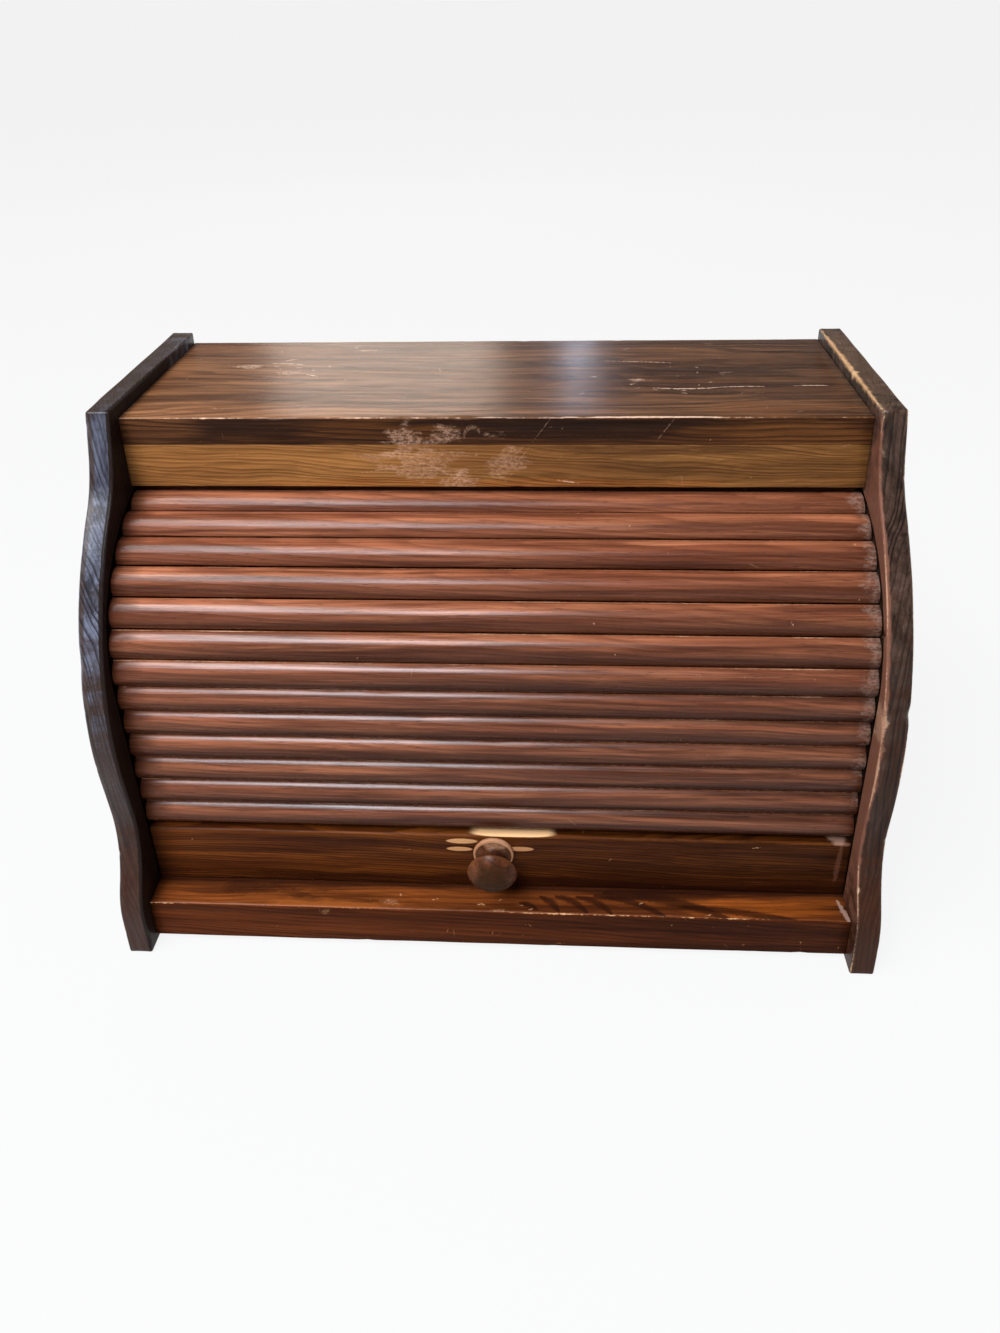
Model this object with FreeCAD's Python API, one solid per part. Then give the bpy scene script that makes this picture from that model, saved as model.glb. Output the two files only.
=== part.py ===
import FreeCAD, Part
import math
import os

# A roll-top bread box in solid pine. Two S-shaped side panels carry a top board, an apron, a sill,
# a floor and a plywood back. A tambour closes the front: a lift rail with a turned knob, and a row
# of half-round slats glued to canvas. It runs up the front, round under the top and down the back.
#
# Millimetres. X runs along the box, +Y points to the back, +Z is up. While the pieces are made,
# Y = 0 is the top front corner of the side panels and Z = 0 is the table. export_all then moves
# the whole box so that its footprint is centred on the origin.

# ---- overall sizes
INNER_WIDTH = 400.0  # clear width between the side panels
HEIGHT = 310.0  # side panel, foot to top edge
TOP_DEPTH = 133.3  # side panel's top edge, front to back
SIDE_THICKNESS = 13.2

# ---- side panel's front edge: runs and arcs, from the top corner down to the foot. A lean is in
# degrees forward of straight down. The belly's arc takes up the height that the others leave.
BROW_LENGTH = 25.0
BROW_LEAN = 15.0
COVE_RADIUS = 60.0
SHOULDER_LEAN = 43.0
WAIST_LEAN = -6.0
WAIST_LENGTH = 25.0
ANKLE_RADIUS = 80.0
TOE_LEAN = 28.0
TOE_RADIUS = 50.0
FOOT_LENGTH = 24.6
PANEL_EDGE_ROUND = 1.2

# ---- top board and apron
TOP_SETDOWN = 7.3  # side panels stand this much above the top board
TOP_SETBACK = 8.2  # front of the top board, behind the side panels' top corner
TOP_THICKNESS = 15.9
APRON_THICKNESS = 12.7
APRON_DROP = 25.5
BOARD_EDGE_ROUND = 1.5

# ---- sill, floor and back
SILL_SETBACK = 9.6  # behind the side panels' toes
SILL_DEPTH = 34.5
SILL_CLEARANCE = 4.0  # sill's underside above the table
SILL_HEIGHT = 26.5
FLOOR_THICKNESS = 12.7
BACK_THICKNESS = 6.0
HOUSING_DEPTH = 5.0  # of the floor's housings and the back's rebates in the side panels
JOINT_CLEARANCE = 0.3  # where a board sits in a housing or a rebate

# ---- track that the tambour follows, taken at the flat backs of the slats
TRACK_SETBACK = 18.6  # foremost point, behind the foremost point of the side panels' belly
TRACK_REACH = 36.0  # and at most this far in front of the panels' shoulder, to stay inside their wood
TRACK_BACK_GAP = 13.0  # the run down the back, in front of the back panel
TRACK_CREST_GAP = 32.5  # highest point, below the top board
TRACK_LEAN = 1.5  # degrees, the front run is set back towards the sill
GROOVE_DEPTH = 5.0
GROOVE_CLEARANCE = 0.5

# ---- tambour
SLAT_COUNT = 14
SLAT_PITCH = 16.5
SLAT_GAP = 0.6
SLAT_THICKNESS = 6.0
SLAT_SHOULDER = 1.3  # height of the slat's square edge below its round face
CANVAS_THICKNESS = 0.5
CANVAS_MARGIN = 15.0  # bare slat at each end
CANVAS_GAP = 1.6
GLUE_LINE = 0.05
END_CLEARANCE = 0.4  # slat's end to side panel
RAIL_THICKNESS = 12.0
RAIL_HEIGHT = 41.5
RAIL_TOP_ROUND = 4.0
RAIL_FOOT_ROUND = 1.5
RAIL_GAP = 1.7  # rail's top to the first slat
RAIL_BEVEL = 7.0  # slope on the inner top edge, which lets the rail tip against the first slat
RAIL_CLEARANCE = 0.4  # closed rail above the sill
OPEN_TILT = 62.0  # degrees that the open rail faces above the horizontal

# ---- knob and its screw
KNOB_RAISE = 7.0  # above the middle of the rail
KNOB_REACH = 22.0
KNOB_HEAD_RADIUS = 14.0
KNOB_HEAD_PLACE = 15.0  # widest part of the head, from the rail
KNOB_BASE_RADIUS = 11.6
KNOB_BASE_THICKNESS = 2.6
KNOB_NECK_RADIUS = 6.4
KNOB_NECK_PLACE = 7.0
KNOB_RIM_ROUND = 1.6
SCREW_RADIUS = 2.0
SCREW_CLEARANCE = 0.25
SCREW_BITE = 12.0  # length in the knob
SCREW_HEAD_RADIUS = 4.0
SCREW_HEAD_HEIGHT = 2.4
SCREW_RECESS = 3.0
SCREW_SLOT_WIDTH = 1.0
SCREW_SLOT_DEPTH = 1.1

# ---- dowels, brads and glue blocks
DOWEL_RADIUS = 3.0
DOWEL_CLEARANCE = 0.1
DOWEL_IN_SIDE = 8.0
DOWEL_IN_BOARD = 17.0
DOWEL_END_GAP = 0.5
DOWEL_EDGE_DISTANCE = 18.0
TOP_DOWEL_COUNT = 3
SILL_DOWEL_SPACING = 16.0
BRAD_RADIUS = 0.8
BRAD_CLEARANCE = 0.1
BRAD_HEAD_RADIUS = 1.6
BRAD_HEAD_HEIGHT = 0.8
BRAD_SINK = 0.1
BRAD_IN_SIDE = 5.0
BRAD_IN_FLOOR = 12.0
BRAD_EDGE_DISTANCE = 30.0
BRADS_PER_SIDE = 4
BRADS_IN_FLOOR = 4
BLOCK_SIZE = 14.0
BLOCK_LENGTH = 45.0
BLOCK_PLACE = 100.0  # each side of the middle
BLOCK_CHAMFER = 6.0


# ---- side panel's front edge, worked out


def run_down(length, lean):
    """How far down and how far forward a straight run goes."""
    lean = math.radians(lean)
    return length * math.cos(lean), length * math.sin(lean)


def arc_down(radius, start, end):
    """How far down and how far forward an arc goes while its lean changes from start to end."""
    start, end = math.radians(start), math.radians(end)
    down = radius * (math.sin(end) - math.sin(start))
    forward = radius * (math.cos(start) - math.cos(end))
    return (down, forward) if end > start else (-down, -forward)


ABOVE_BELLY = (run_down(BROW_LENGTH, BROW_LEAN), arc_down(COVE_RADIUS, BROW_LEAN, SHOULDER_LEAN))
BELOW_BELLY = (
    run_down(WAIST_LENGTH, WAIST_LEAN),
    arc_down(ANKLE_RADIUS, WAIST_LEAN, TOE_LEAN),
    arc_down(TOE_RADIUS, TOE_LEAN, 0.0),
)
BELLY_HEIGHT = HEIGHT - FOOT_LENGTH - sum(down for down, forward in ABOVE_BELLY + BELOW_BELLY)
BELLY_RADIUS = BELLY_HEIGHT / arc_down(1.0, SHOULDER_LEAN, WAIST_LEAN)[0]
SHOULDER_FRONT = -sum(forward for down, forward in ABOVE_BELLY)
BELLY_FRONT = SHOULDER_FRONT - arc_down(BELLY_RADIUS, SHOULDER_LEAN, 0.0)[1]
TOE_FRONT = BELLY_FRONT - arc_down(BELLY_RADIUS, 0.0, WAIST_LEAN)[1]
TOE_FRONT -= sum(forward for down, forward in BELOW_BELLY)

# ---- heights and depths that follow
HALF_INNER = INNER_WIDTH / 2
TOP_FACE = HEIGHT - TOP_SETDOWN
TOP_UNDERSIDE = TOP_FACE - TOP_THICKNESS
APRON_BACK = TOP_SETBACK + APRON_THICKNESS
APRON_FOOT = TOP_UNDERSIDE - APRON_DROP
SILL_TOP = SILL_CLEARANCE + SILL_HEIGHT
SILL_FRONT = TOE_FRONT + SILL_SETBACK
SILL_BACK = SILL_FRONT + SILL_DEPTH
FLOOR_UNDERSIDE = SILL_TOP - FLOOR_THICKNESS
BACK_FACE = TOP_DEPTH - BACK_THICKNESS
TRACK_FRONT = max(BELLY_FRONT + TRACK_SETBACK, SHOULDER_FRONT - TRACK_REACH)
TRACK_RADIUS = (BACK_FACE - TRACK_BACK_GAP - TRACK_FRONT) / 2
TRACK_CENTRE_Y = TRACK_FRONT + TRACK_RADIUS
TRACK_CENTRE_Z = TOP_UNDERSIDE - TRACK_CREST_GAP - TRACK_RADIUS
ARC_START = math.radians(-TRACK_LEAN)
ARC_LENGTH = (math.pi - ARC_START) * TRACK_RADIUS
ARC_FOOT_Z = TRACK_CENTRE_Z + TRACK_RADIUS * math.sin(ARC_START)
RAIL_FOOT = (ARC_FOOT_Z - SILL_TOP - RAIL_CLEARANCE) / math.cos(ARC_START)
RAIL_PLACE = RAIL_FOOT - RAIL_HEIGHT / 2
RAIL_TRAVEL = RAIL_PLACE + TRACK_RADIUS * (math.radians(OPEN_TILT) - ARC_START)

X_AXIS = FreeCAD.Vector(1, 0, 0)
Y_AXIS = FreeCAD.Vector(0, 1, 0)
MIRROR_PLANE = (FreeCAD.Vector(0, 0, 0), X_AXIS)


# ---- helpers


def box(x_range, y_range, z_range):
    """A block from its lowest to its highest corner."""
    size = [high - low for low, high in (x_range, y_range, z_range)]
    return Part.makeBox(*size, FreeCAD.Vector(x_range[0], y_range[0], z_range[0]))


def prism(edges, x_range):
    """Edges of a closed outline in the plane X = 0, drawn out along X."""
    face = Part.Face(Part.Wire(edges))
    face.translate(FreeCAD.Vector(x_range[0], 0, 0))
    return face.extrude(FreeCAD.Vector(x_range[1] - x_range[0], 0, 0))


def line(start, end):
    return Part.LineSegment(start, end).toShape()


def arc(start, middle, end):
    return Part.Arc(start, middle, end).toShape()


def both_ends(shape):
    """A piece at the right-hand end and its mirror image at the left."""
    return [shape, shape.mirror(*MIRROR_PLANE)]


def rounded(shape, radius, chosen):
    """Fillet the edges for which chosen(edge) is true."""
    edges = [edge for edge in shape.Edges if chosen(edge)]
    return shape.makeFillet(radius, edges)


def along_x_at(y, z):
    """A test for the straight edge along X that passes through y and z."""

    def test(edge):
        bounds = edge.BoundBox
        at_y = math.isclose(bounds.YMin, y, abs_tol=1e-3) and math.isclose(bounds.YMax, y, abs_tol=1e-3)
        at_z = math.isclose(bounds.ZMin, z, abs_tol=1e-3) and math.isclose(bounds.ZMax, z, abs_tol=1e-3)
        return at_y and at_z

    return test


# ---- track


def track_at(distance):
    """Place on the track: a point (y, z) and the angle that the track faces above the horizontal.

    distance is measured down the front run from where the arc starts; below zero it is on the arc,
    and beyond the arc it is on the straight run down the back.
    """
    facing = ARC_START - min(distance, 0.0) / TRACK_RADIUS
    facing = min(facing, math.pi)
    y = TRACK_CENTRE_Y - TRACK_RADIUS * math.cos(facing)
    z = TRACK_CENTRE_Z + TRACK_RADIUS * math.sin(facing)
    front_run = max(distance, 0.0)
    back_run = max(-distance - ARC_LENGTH, 0.0)
    y -= front_run * math.sin(ARC_START)
    z -= front_run * math.cos(ARC_START) + back_run
    return (y, z), facing


def on_track(distance, out, up):
    """A point beside the track: out from the slats' backs, and up along the track."""
    (y, z), facing = track_at(distance)
    y += -out * math.cos(facing) + up * math.sin(facing)
    z += out * math.sin(facing) + up * math.cos(facing)
    return FreeCAD.Vector(0, y, z)


def slat_place(number):
    """Distance of slat number, counted from the rail, when the tambour is closed."""
    return RAIL_PLACE - RAIL_HEIGHT / 2 - SLAT_PITCH * (number - 0.5)


def swing(distance):
    """Pivot (y, z) and angle in degrees that carry a piece from closed to fully open.

    Each piece turns about one fixed pivot, so it stands exactly on the track at both limits.
    """
    (y0, z0), facing0 = track_at(distance)
    (y1, z1), facing1 = track_at(distance - RAIL_TRAVEL)
    turn = facing1 - facing0
    reach = 1 / (2 * math.tan(turn / 2))
    pivot_y = (y0 + y1) / 2 + (z1 - z0) * reach
    pivot_z = (z0 + z1) / 2 - (y1 - y0) * reach
    return (pivot_y, pivot_z), math.degrees(turn)


# ---- joinery shared by the boards


def dowel_places():
    """(y, z) of each dowel that joins a side panel to the top board, the apron and the sill."""
    first = TOP_SETBACK + DOWEL_EDGE_DISTANCE
    last = TOP_DEPTH - DOWEL_EDGE_DISTANCE
    step = (last - first) / (TOP_DOWEL_COUNT - 1)
    top = [(first + step * n, TOP_FACE - TOP_THICKNESS / 2) for n in range(TOP_DOWEL_COUNT)]
    apron = [(TOP_SETBACK + APRON_THICKNESS / 2, TOP_UNDERSIDE - APRON_DROP / 2)]
    middle = (SILL_FRONT + SILL_BACK) / 2
    height = SILL_CLEARANCE + SILL_HEIGHT / 2
    sill = [(middle + side * SILL_DOWEL_SPACING / 2, height) for side in (-1, 1)]
    return top + apron + sill


def rods(radius, end_gap):
    """Cylinders where the dowels go: both their holes and, a little smaller, the dowels."""
    made = []
    for y, z in dowel_places():
        start = FreeCAD.Vector(HALF_INNER - DOWEL_IN_BOARD + end_gap, y, z)
        length = DOWEL_IN_BOARD + DOWEL_IN_SIDE - 2 * end_gap
        made += both_ends(Part.makeCylinder(radius, length, start, X_AXIS))
    return made


def brad_places():
    """(x, z, length below the head) of each brad that holds the back."""
    low = SILL_TOP + BRAD_EDGE_DISTANCE
    high = TOP_UNDERSIDE - BRAD_EDGE_DISTANCE
    step = (high - low) / (BRADS_PER_SIDE - 1)
    edge = HALF_INNER + HOUSING_DEPTH / 2
    in_side = BACK_THICKNESS + BRAD_IN_SIDE
    in_floor = BACK_THICKNESS + BRAD_IN_FLOOR
    sides = [(s * edge, low + step * n, in_side) for s in (-1, 1) for n in range(BRADS_PER_SIDE)]
    spread = INNER_WIDTH / BRADS_IN_FLOOR
    first = -HALF_INNER + spread / 2
    height = FLOOR_UNDERSIDE + FLOOR_THICKNESS / 2
    floor = [(first + spread * n, height, in_floor) for n in range(BRADS_IN_FLOOR)]
    return sides + floor


def brads(clearance):
    """The brads, or with a clearance the holes that they go into."""
    made = []
    for x, z, length in brad_places():
        top = TOP_DEPTH - BRAD_SINK
        tip = top - length + BRAD_SINK - clearance
        shank = Part.makeCylinder(BRAD_RADIUS + clearance, top - tip, FreeCAD.Vector(x, tip, z), Y_AXIS)
        head_from = top - BRAD_HEAD_HEIGHT - clearance
        head_to = TOP_DEPTH if clearance else top
        at = FreeCAD.Vector(x, head_from, z)
        head = Part.makeCylinder(BRAD_HEAD_RADIUS + clearance, head_to - head_from, at, Y_AXIS)
        made.append(shank.fuse(head).removeSplitter())
    return made


# ---- side panels


def front_edge():
    """The side panel's front edge from the top corner down: edges, and where it ends."""
    runs = [
        (None, BROW_LEAN, BROW_LENGTH),
        (COVE_RADIUS, SHOULDER_LEAN, None),
        (BELLY_RADIUS, WAIST_LEAN, None),
        (None, WAIST_LEAN, WAIST_LENGTH),
        (ANKLE_RADIUS, TOE_LEAN, None),
        (TOE_RADIUS, 0.0, None),
    ]
    here = FreeCAD.Vector(0, 0, HEIGHT)
    lean = math.radians(BROW_LEAN)
    edges = []
    for radius, end_lean, length in runs:
        if radius is None:
            ahead = FreeCAD.Vector(0, -math.sin(lean), -math.cos(lean)) * length
            edges.append(line(here, here + ahead))
            here = here + ahead
            continue
        end = math.radians(end_lean)
        hand = 1 if end > lean else -1
        centre = here + FreeCAD.Vector(0, -math.cos(lean), math.sin(lean)) * (radius * hand)
        points = []
        for heading in ((lean + end) / 2, end):
            out = FreeCAD.Vector(0, math.cos(heading), -math.sin(heading)) * (radius * hand)
            points.append(centre + out)
        edges.append(arc(here, *points))
        here = points[-1]
        lean = end
    return edges, here


def groove():
    """The groove for the tambour in the right-hand side panel, open to the panel's inner face."""
    outer = SLAT_THICKNESS + GROOVE_CLEARANCE
    inner = -CANVAS_THICKNESS - GLUE_LINE - GROOVE_CLEARANCE
    front_end = (ARC_FOOT_Z - SILL_TOP) / math.cos(ARC_START)
    back_end = -ARC_LENGTH - (TRACK_CENTRE_Z - SILL_TOP)
    crest = -ARC_LENGTH / 2
    stops = (front_end, 0.0, crest, -ARC_LENGTH, back_end)
    a, b, c, d, e = [on_track(stop, outer, 0) for stop in stops]
    p, q, r, s, t = [on_track(stop, inner, 0) for stop in stops]
    edges = [line(a, b), arc(b, c, d), line(d, e), line(e, t), line(t, s), arc(s, r, q), line(q, p)]
    return prism(edges + [line(p, a)], (HALF_INNER, HALF_INNER + GROOVE_DEPTH))


def side_panel():
    """The right-hand side panel."""
    edges, toe = front_edge()
    foot_front = FreeCAD.Vector(0, toe.y, 0)
    foot_back = FreeCAD.Vector(0, TOP_DEPTH, 0)
    top_back = FreeCAD.Vector(0, TOP_DEPTH, HEIGHT)
    top_front = FreeCAD.Vector(0, 0, HEIGHT)
    edges += [line(toe, foot_front), line(foot_front, foot_back)]
    edges += [line(foot_back, top_back), line(top_back, top_front)]
    panel = prism(edges, (HALF_INNER, HALF_INNER + SIDE_THICKNESS))

    def rounds(edge):
        """Long edges of both faces, apart from those at the foot and the back."""
        bounds = edge.BoundBox
        in_face = bounds.XLength < 1e-3
        return in_face and bounds.ZMax > 1 and bounds.YMin < TOP_DEPTH - 1

    panel = rounded(panel, PANEL_EDGE_ROUND, rounds)
    housed = (HALF_INNER, HALF_INNER + HOUSING_DEPTH)
    floor_housing = box(housed, (SILL_BACK, TOP_DEPTH), (FLOOR_UNDERSIDE, SILL_TOP))
    back_rebate = box(housed, (BACK_FACE, TOP_DEPTH), (FLOOR_UNDERSIDE, TOP_UNDERSIDE))
    holes = rods(DOWEL_RADIUS + DOWEL_CLEARANCE, 0) + brads(BRAD_CLEARANCE)
    return panel.cut([groove(), floor_housing, back_rebate] + holes)


# ---- boards between the side panels


def across(y_range, z_range, overhang=0.0):
    """A board that runs from side panel to side panel, or into them by overhang at each end."""
    reach = HALF_INNER + overhang
    return box((-reach, reach), y_range, z_range)


def top_board():
    board = across((TOP_SETBACK, TOP_DEPTH), (TOP_UNDERSIDE, TOP_FACE))
    board = rounded(board, BOARD_EDGE_ROUND, along_x_at(TOP_SETBACK, TOP_FACE))
    return board.cut(rods(DOWEL_RADIUS + DOWEL_CLEARANCE, 0))


def apron():
    board = across((TOP_SETBACK, APRON_BACK), (APRON_FOOT, TOP_UNDERSIDE))
    board = rounded(board, BOARD_EDGE_ROUND, along_x_at(TOP_SETBACK, APRON_FOOT))
    return board.cut(rods(DOWEL_RADIUS + DOWEL_CLEARANCE, 0))


def sill():
    board = across((SILL_FRONT, SILL_BACK), (SILL_CLEARANCE, SILL_TOP))
    board = rounded(board, BOARD_EDGE_ROUND, along_x_at(SILL_FRONT, SILL_TOP))
    return board.cut(rods(DOWEL_RADIUS + DOWEL_CLEARANCE, 0))


def floor_board():
    overhang = HOUSING_DEPTH - JOINT_CLEARANCE
    board = across((SILL_BACK, BACK_FACE), (FLOOR_UNDERSIDE, SILL_TOP), overhang)
    return board.cut(brads(BRAD_CLEARANCE))


def back_panel():
    overhang = HOUSING_DEPTH - JOINT_CLEARANCE
    board = across((BACK_FACE, TOP_DEPTH), (FLOOR_UNDERSIDE, TOP_UNDERSIDE), overhang)
    return board.cut(brads(BRAD_CLEARANCE))


def glue_blocks():
    """Blocks in the corners behind the apron and behind the sill, two of each."""
    corners = [(APRON_BACK, TOP_UNDERSIDE), (SILL_BACK, FLOOR_UNDERSIDE)]
    made = []
    for y, z in corners:
        low = z - BLOCK_SIZE
        back = y + BLOCK_SIZE
        start = FreeCAD.Vector(0, y, z)
        outline = [start, FreeCAD.Vector(0, back, z), FreeCAD.Vector(0, back, z - BLOCK_SIZE + BLOCK_CHAMFER)]
        outline += [FreeCAD.Vector(0, back - BLOCK_CHAMFER, low), FreeCAD.Vector(0, y, low), start]
        edges = [line(one, two) for one, two in zip(outline, outline[1:])]
        half = BLOCK_LENGTH / 2
        made += both_ends(prism(edges, (BLOCK_PLACE - half, BLOCK_PLACE + half)))
    return made


# ---- tambour


def slat(number):
    """A half-round slat: flat back, short square edges, round face."""
    place = slat_place(number)
    half = (SLAT_PITCH - SLAT_GAP) / 2
    foot_in, foot_out = on_track(place, 0, -half), on_track(place, SLAT_SHOULDER, -half)
    head_in, head_out = on_track(place, 0, half), on_track(place, SLAT_SHOULDER, half)
    crown = on_track(place, SLAT_THICKNESS, 0)
    edges = [line(foot_in, foot_out), arc(foot_out, crown, head_out)]
    edges += [line(head_out, head_in), line(head_in, foot_in)]
    reach = HALF_INNER - END_CLEARANCE
    return prism(edges, (-reach, reach))


def canvas(place, height, depth):
    """A strip of the canvas, glued to the back of one slat or of the rail."""
    inner, outer = -depth - GLUE_LINE - CANVAS_THICKNESS, -depth - GLUE_LINE
    half = height / 2
    corners = [(inner, -half), (outer, -half), (outer, half), (inner, half), (inner, -half)]
    points = [on_track(place, out, up) for out, up in corners]
    edges = [line(one, two) for one, two in zip(points, points[1:])]
    reach = HALF_INNER - END_CLEARANCE - CANVAS_MARGIN
    return prism(edges, (-reach, reach))


def rail_back():
    """How far the rail's inner face lies behind the slats' backs."""
    return RAIL_THICKNESS - SLAT_THICKNESS


def outward():
    """The way that the closed rail faces."""
    return FreeCAD.Vector(0, -math.cos(ARC_START), math.sin(ARC_START))


def lift_rail():
    half = RAIL_HEIGHT / 2
    top = half - RAIL_GAP + SLAT_GAP / 2
    back, face = -rail_back(), SLAT_THICKNESS
    slope = 1 - math.sqrt(0.5)
    round_top, round_foot = RAIL_TOP_ROUND, RAIL_FOOT_ROUND
    a, b = on_track(RAIL_PLACE, back, -half), on_track(RAIL_PLACE, face - round_foot, -half)
    c = on_track(RAIL_PLACE, face - slope * round_foot, -half + slope * round_foot)
    d, e = on_track(RAIL_PLACE, face, -half + round_foot), on_track(RAIL_PLACE, face, top - round_top)
    f = on_track(RAIL_PLACE, face - slope * round_top, top - slope * round_top)
    g, h = on_track(RAIL_PLACE, face - round_top, top), on_track(RAIL_PLACE, 0, top)
    k = on_track(RAIL_PLACE, back, top - RAIL_BEVEL)
    edges = [line(a, b), arc(b, c, d), line(d, e), arc(e, f, g), line(g, h), line(h, k), line(k, a)]
    reach = HALF_INNER - END_CLEARANCE
    rail = prism(edges, (-reach, reach))
    inner_face = on_track(RAIL_PLACE, back, KNOB_RAISE)
    hole = Part.makeCylinder(SCREW_RADIUS + SCREW_CLEARANCE, RAIL_THICKNESS, inner_face, outward())
    recess = Part.makeCylinder(SCREW_HEAD_RADIUS + SCREW_CLEARANCE, SCREW_RECESS, inner_face, outward())
    return rail.cut([hole, recess])


def knob():
    """A turned mushroom knob on a round base."""
    # points are (distance from the rail, radius)
    slope = math.sqrt(0.5)
    neck = (KNOB_NECK_PLACE, KNOB_NECK_RADIUS)
    rim = (KNOB_HEAD_PLACE, KNOB_HEAD_RADIUS)
    base = [(0, 0), (0, KNOB_BASE_RADIUS), (KNOB_BASE_THICKNESS, KNOB_BASE_RADIUS)]
    cove_deep = (neck[0] - base[-1][0]) * slope
    cove_high = (base[-1][1] - neck[1]) * slope
    cove = (neck[0] - cove_deep, base[-1][1] - cove_high)
    flare = (neck[0] + (rim[0] - neck[0]) * slope, neck[1] + (rim[1] - neck[1]) * (1 - slope))
    rise = KNOB_REACH - KNOB_HEAD_PLACE
    dome_radius = (rise**2 + KNOB_HEAD_RADIUS**2) / (2 * rise)
    half_dome = math.asin(KNOB_HEAD_RADIUS / dome_radius) / 2
    crown = (
        KNOB_REACH - dome_radius * (1 - math.cos(half_dome)),
        dome_radius * math.sin(half_dome),
    )
    tip = (KNOB_REACH, 0)

    def at(point):
        return FreeCAD.Vector(point[1], 0, point[0])

    def is_rim(edge):
        bounds = edge.BoundBox
        return bounds.ZLength < 1e-3 and math.isclose(bounds.ZMin, KNOB_HEAD_PLACE, abs_tol=1e-3)

    edges = [line(at(one), at(two)) for one, two in zip(base, base[1:])]
    edges += [arc(at(base[-1]), at(cove), at(neck)), arc(at(neck), at(flare), at(rim))]
    edges += [arc(at(rim), at(crown), at(tip)), line(at(tip), at(base[0]))]
    turned = Part.Face(Part.Wire(edges)).revolve(at(base[0]), FreeCAD.Vector(0, 0, 1), 360)
    turned = rounded(turned, KNOB_RIM_ROUND, is_rim)
    bore = Part.makeCylinder(SCREW_RADIUS + SCREW_CLEARANCE / 2, SCREW_BITE + SCREW_CLEARANCE)
    return on_rail(turned.cut(bore))


def on_rail(shape):
    """Stand a shape that was made about +Z on the closed rail's face."""
    turned = shape.copy()
    turned.Placement = FreeCAD.Placement(
        on_track(RAIL_PLACE, SLAT_THICKNESS, KNOB_RAISE), FreeCAD.Rotation(FreeCAD.Vector(0, 0, 1), outward())
    )
    return turned


def knob_screw():
    """Slotted screw from the back of the rail into the knob."""
    seat = -(RAIL_THICKNESS - SCREW_RECESS)
    shank = Part.makeCylinder(SCREW_RADIUS, SCREW_BITE - seat, FreeCAD.Vector(0, 0, seat))
    low = seat - SCREW_HEAD_HEIGHT
    head = Part.makeCylinder(SCREW_HEAD_RADIUS, SCREW_HEAD_HEIGHT, FreeCAD.Vector(0, 0, low))
    reach = SCREW_HEAD_RADIUS + SCREW_CLEARANCE
    slot_half = SCREW_SLOT_WIDTH / 2
    slot = box((-reach, reach), (-slot_half, slot_half), (low, low + SCREW_SLOT_DEPTH))
    return on_rail(shank.fuse(head).removeSplitter().cut(slot))


# ---- all the pieces by name


def pieces():
    right = side_panel()
    made = {
        "side_left": right.mirror(*MIRROR_PLANE),
        "side_right": right,
        "top_board": top_board(),
        "apron": apron(),
        "sill": sill(),
        "floor_board": floor_board(),
        "back_panel": back_panel(),
        "glue_blocks": Part.makeCompound(glue_blocks()),
        "dowels": Part.makeCompound(rods(DOWEL_RADIUS, DOWEL_END_GAP)),
        "back_brads": Part.makeCompound(brads(0.0)),
        "lift_rail": lift_rail(),
        "rail_canvas": canvas(RAIL_PLACE + RAIL_BEVEL / 2, RAIL_HEIGHT - 2 * RAIL_BEVEL, rail_back()),
        "knob": knob(),
        "knob_screw": knob_screw(),
    }
    for number in range(1, SLAT_COUNT + 1):
        made[f"slat_{number:02d}"] = slat(number)
        made[f"canvas_{number:02d}"] = canvas(slat_place(number), SLAT_PITCH - CANVAS_GAP, 0.0)
    return made


def footprint_middle():
    """Y of the middle of the box's footprint, while the pieces are made."""
    return (min(BELLY_FRONT, TOE_FRONT) + TOP_DEPTH) / 2


def export_all():
    os.makedirs("parts", exist_ok=True)
    shift = FreeCAD.Vector(0, -footprint_middle(), 0)
    for name, shape in pieces().items():
        moved = shape.copy()
        moved.translate(shift)
        moved.exportStep(f"parts/{name}.step")


export_all()
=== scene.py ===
"""The looks of a roll-top bread box: stained pine, half-round slats and a turned knob.

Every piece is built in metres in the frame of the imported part, and rides on the part's bodies.
"""

import logging
from dataclasses import dataclass, replace
from enum import Enum
from math import asin, cos, exp, pi, radians, sin, tan, tau
from typing import Callable, Iterable, Optional, Sequence, Union

import bpy
import bmesh
from mathutils import Matrix, Vector, noise
from mathutils.kdtree import KDTree


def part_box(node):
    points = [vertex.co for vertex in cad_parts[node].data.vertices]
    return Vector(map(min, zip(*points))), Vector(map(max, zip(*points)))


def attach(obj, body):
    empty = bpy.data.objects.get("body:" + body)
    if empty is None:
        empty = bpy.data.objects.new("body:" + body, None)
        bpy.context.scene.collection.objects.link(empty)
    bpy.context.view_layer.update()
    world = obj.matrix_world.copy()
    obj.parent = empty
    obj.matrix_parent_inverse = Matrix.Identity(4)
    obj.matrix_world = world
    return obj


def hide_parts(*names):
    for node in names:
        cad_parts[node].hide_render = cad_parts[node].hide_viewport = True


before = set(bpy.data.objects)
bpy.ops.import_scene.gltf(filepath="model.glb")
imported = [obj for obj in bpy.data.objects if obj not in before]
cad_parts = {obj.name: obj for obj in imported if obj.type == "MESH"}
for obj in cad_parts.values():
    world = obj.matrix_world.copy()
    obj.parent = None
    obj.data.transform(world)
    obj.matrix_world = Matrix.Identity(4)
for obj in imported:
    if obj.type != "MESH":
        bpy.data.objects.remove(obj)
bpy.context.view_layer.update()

LOG = logging.getLogger("bread_box")
MM = 0.001
HALF_INSIDE = 200.0 * MM
HALF_TURN, QUARTER_TURN = pi, pi / 2

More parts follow.
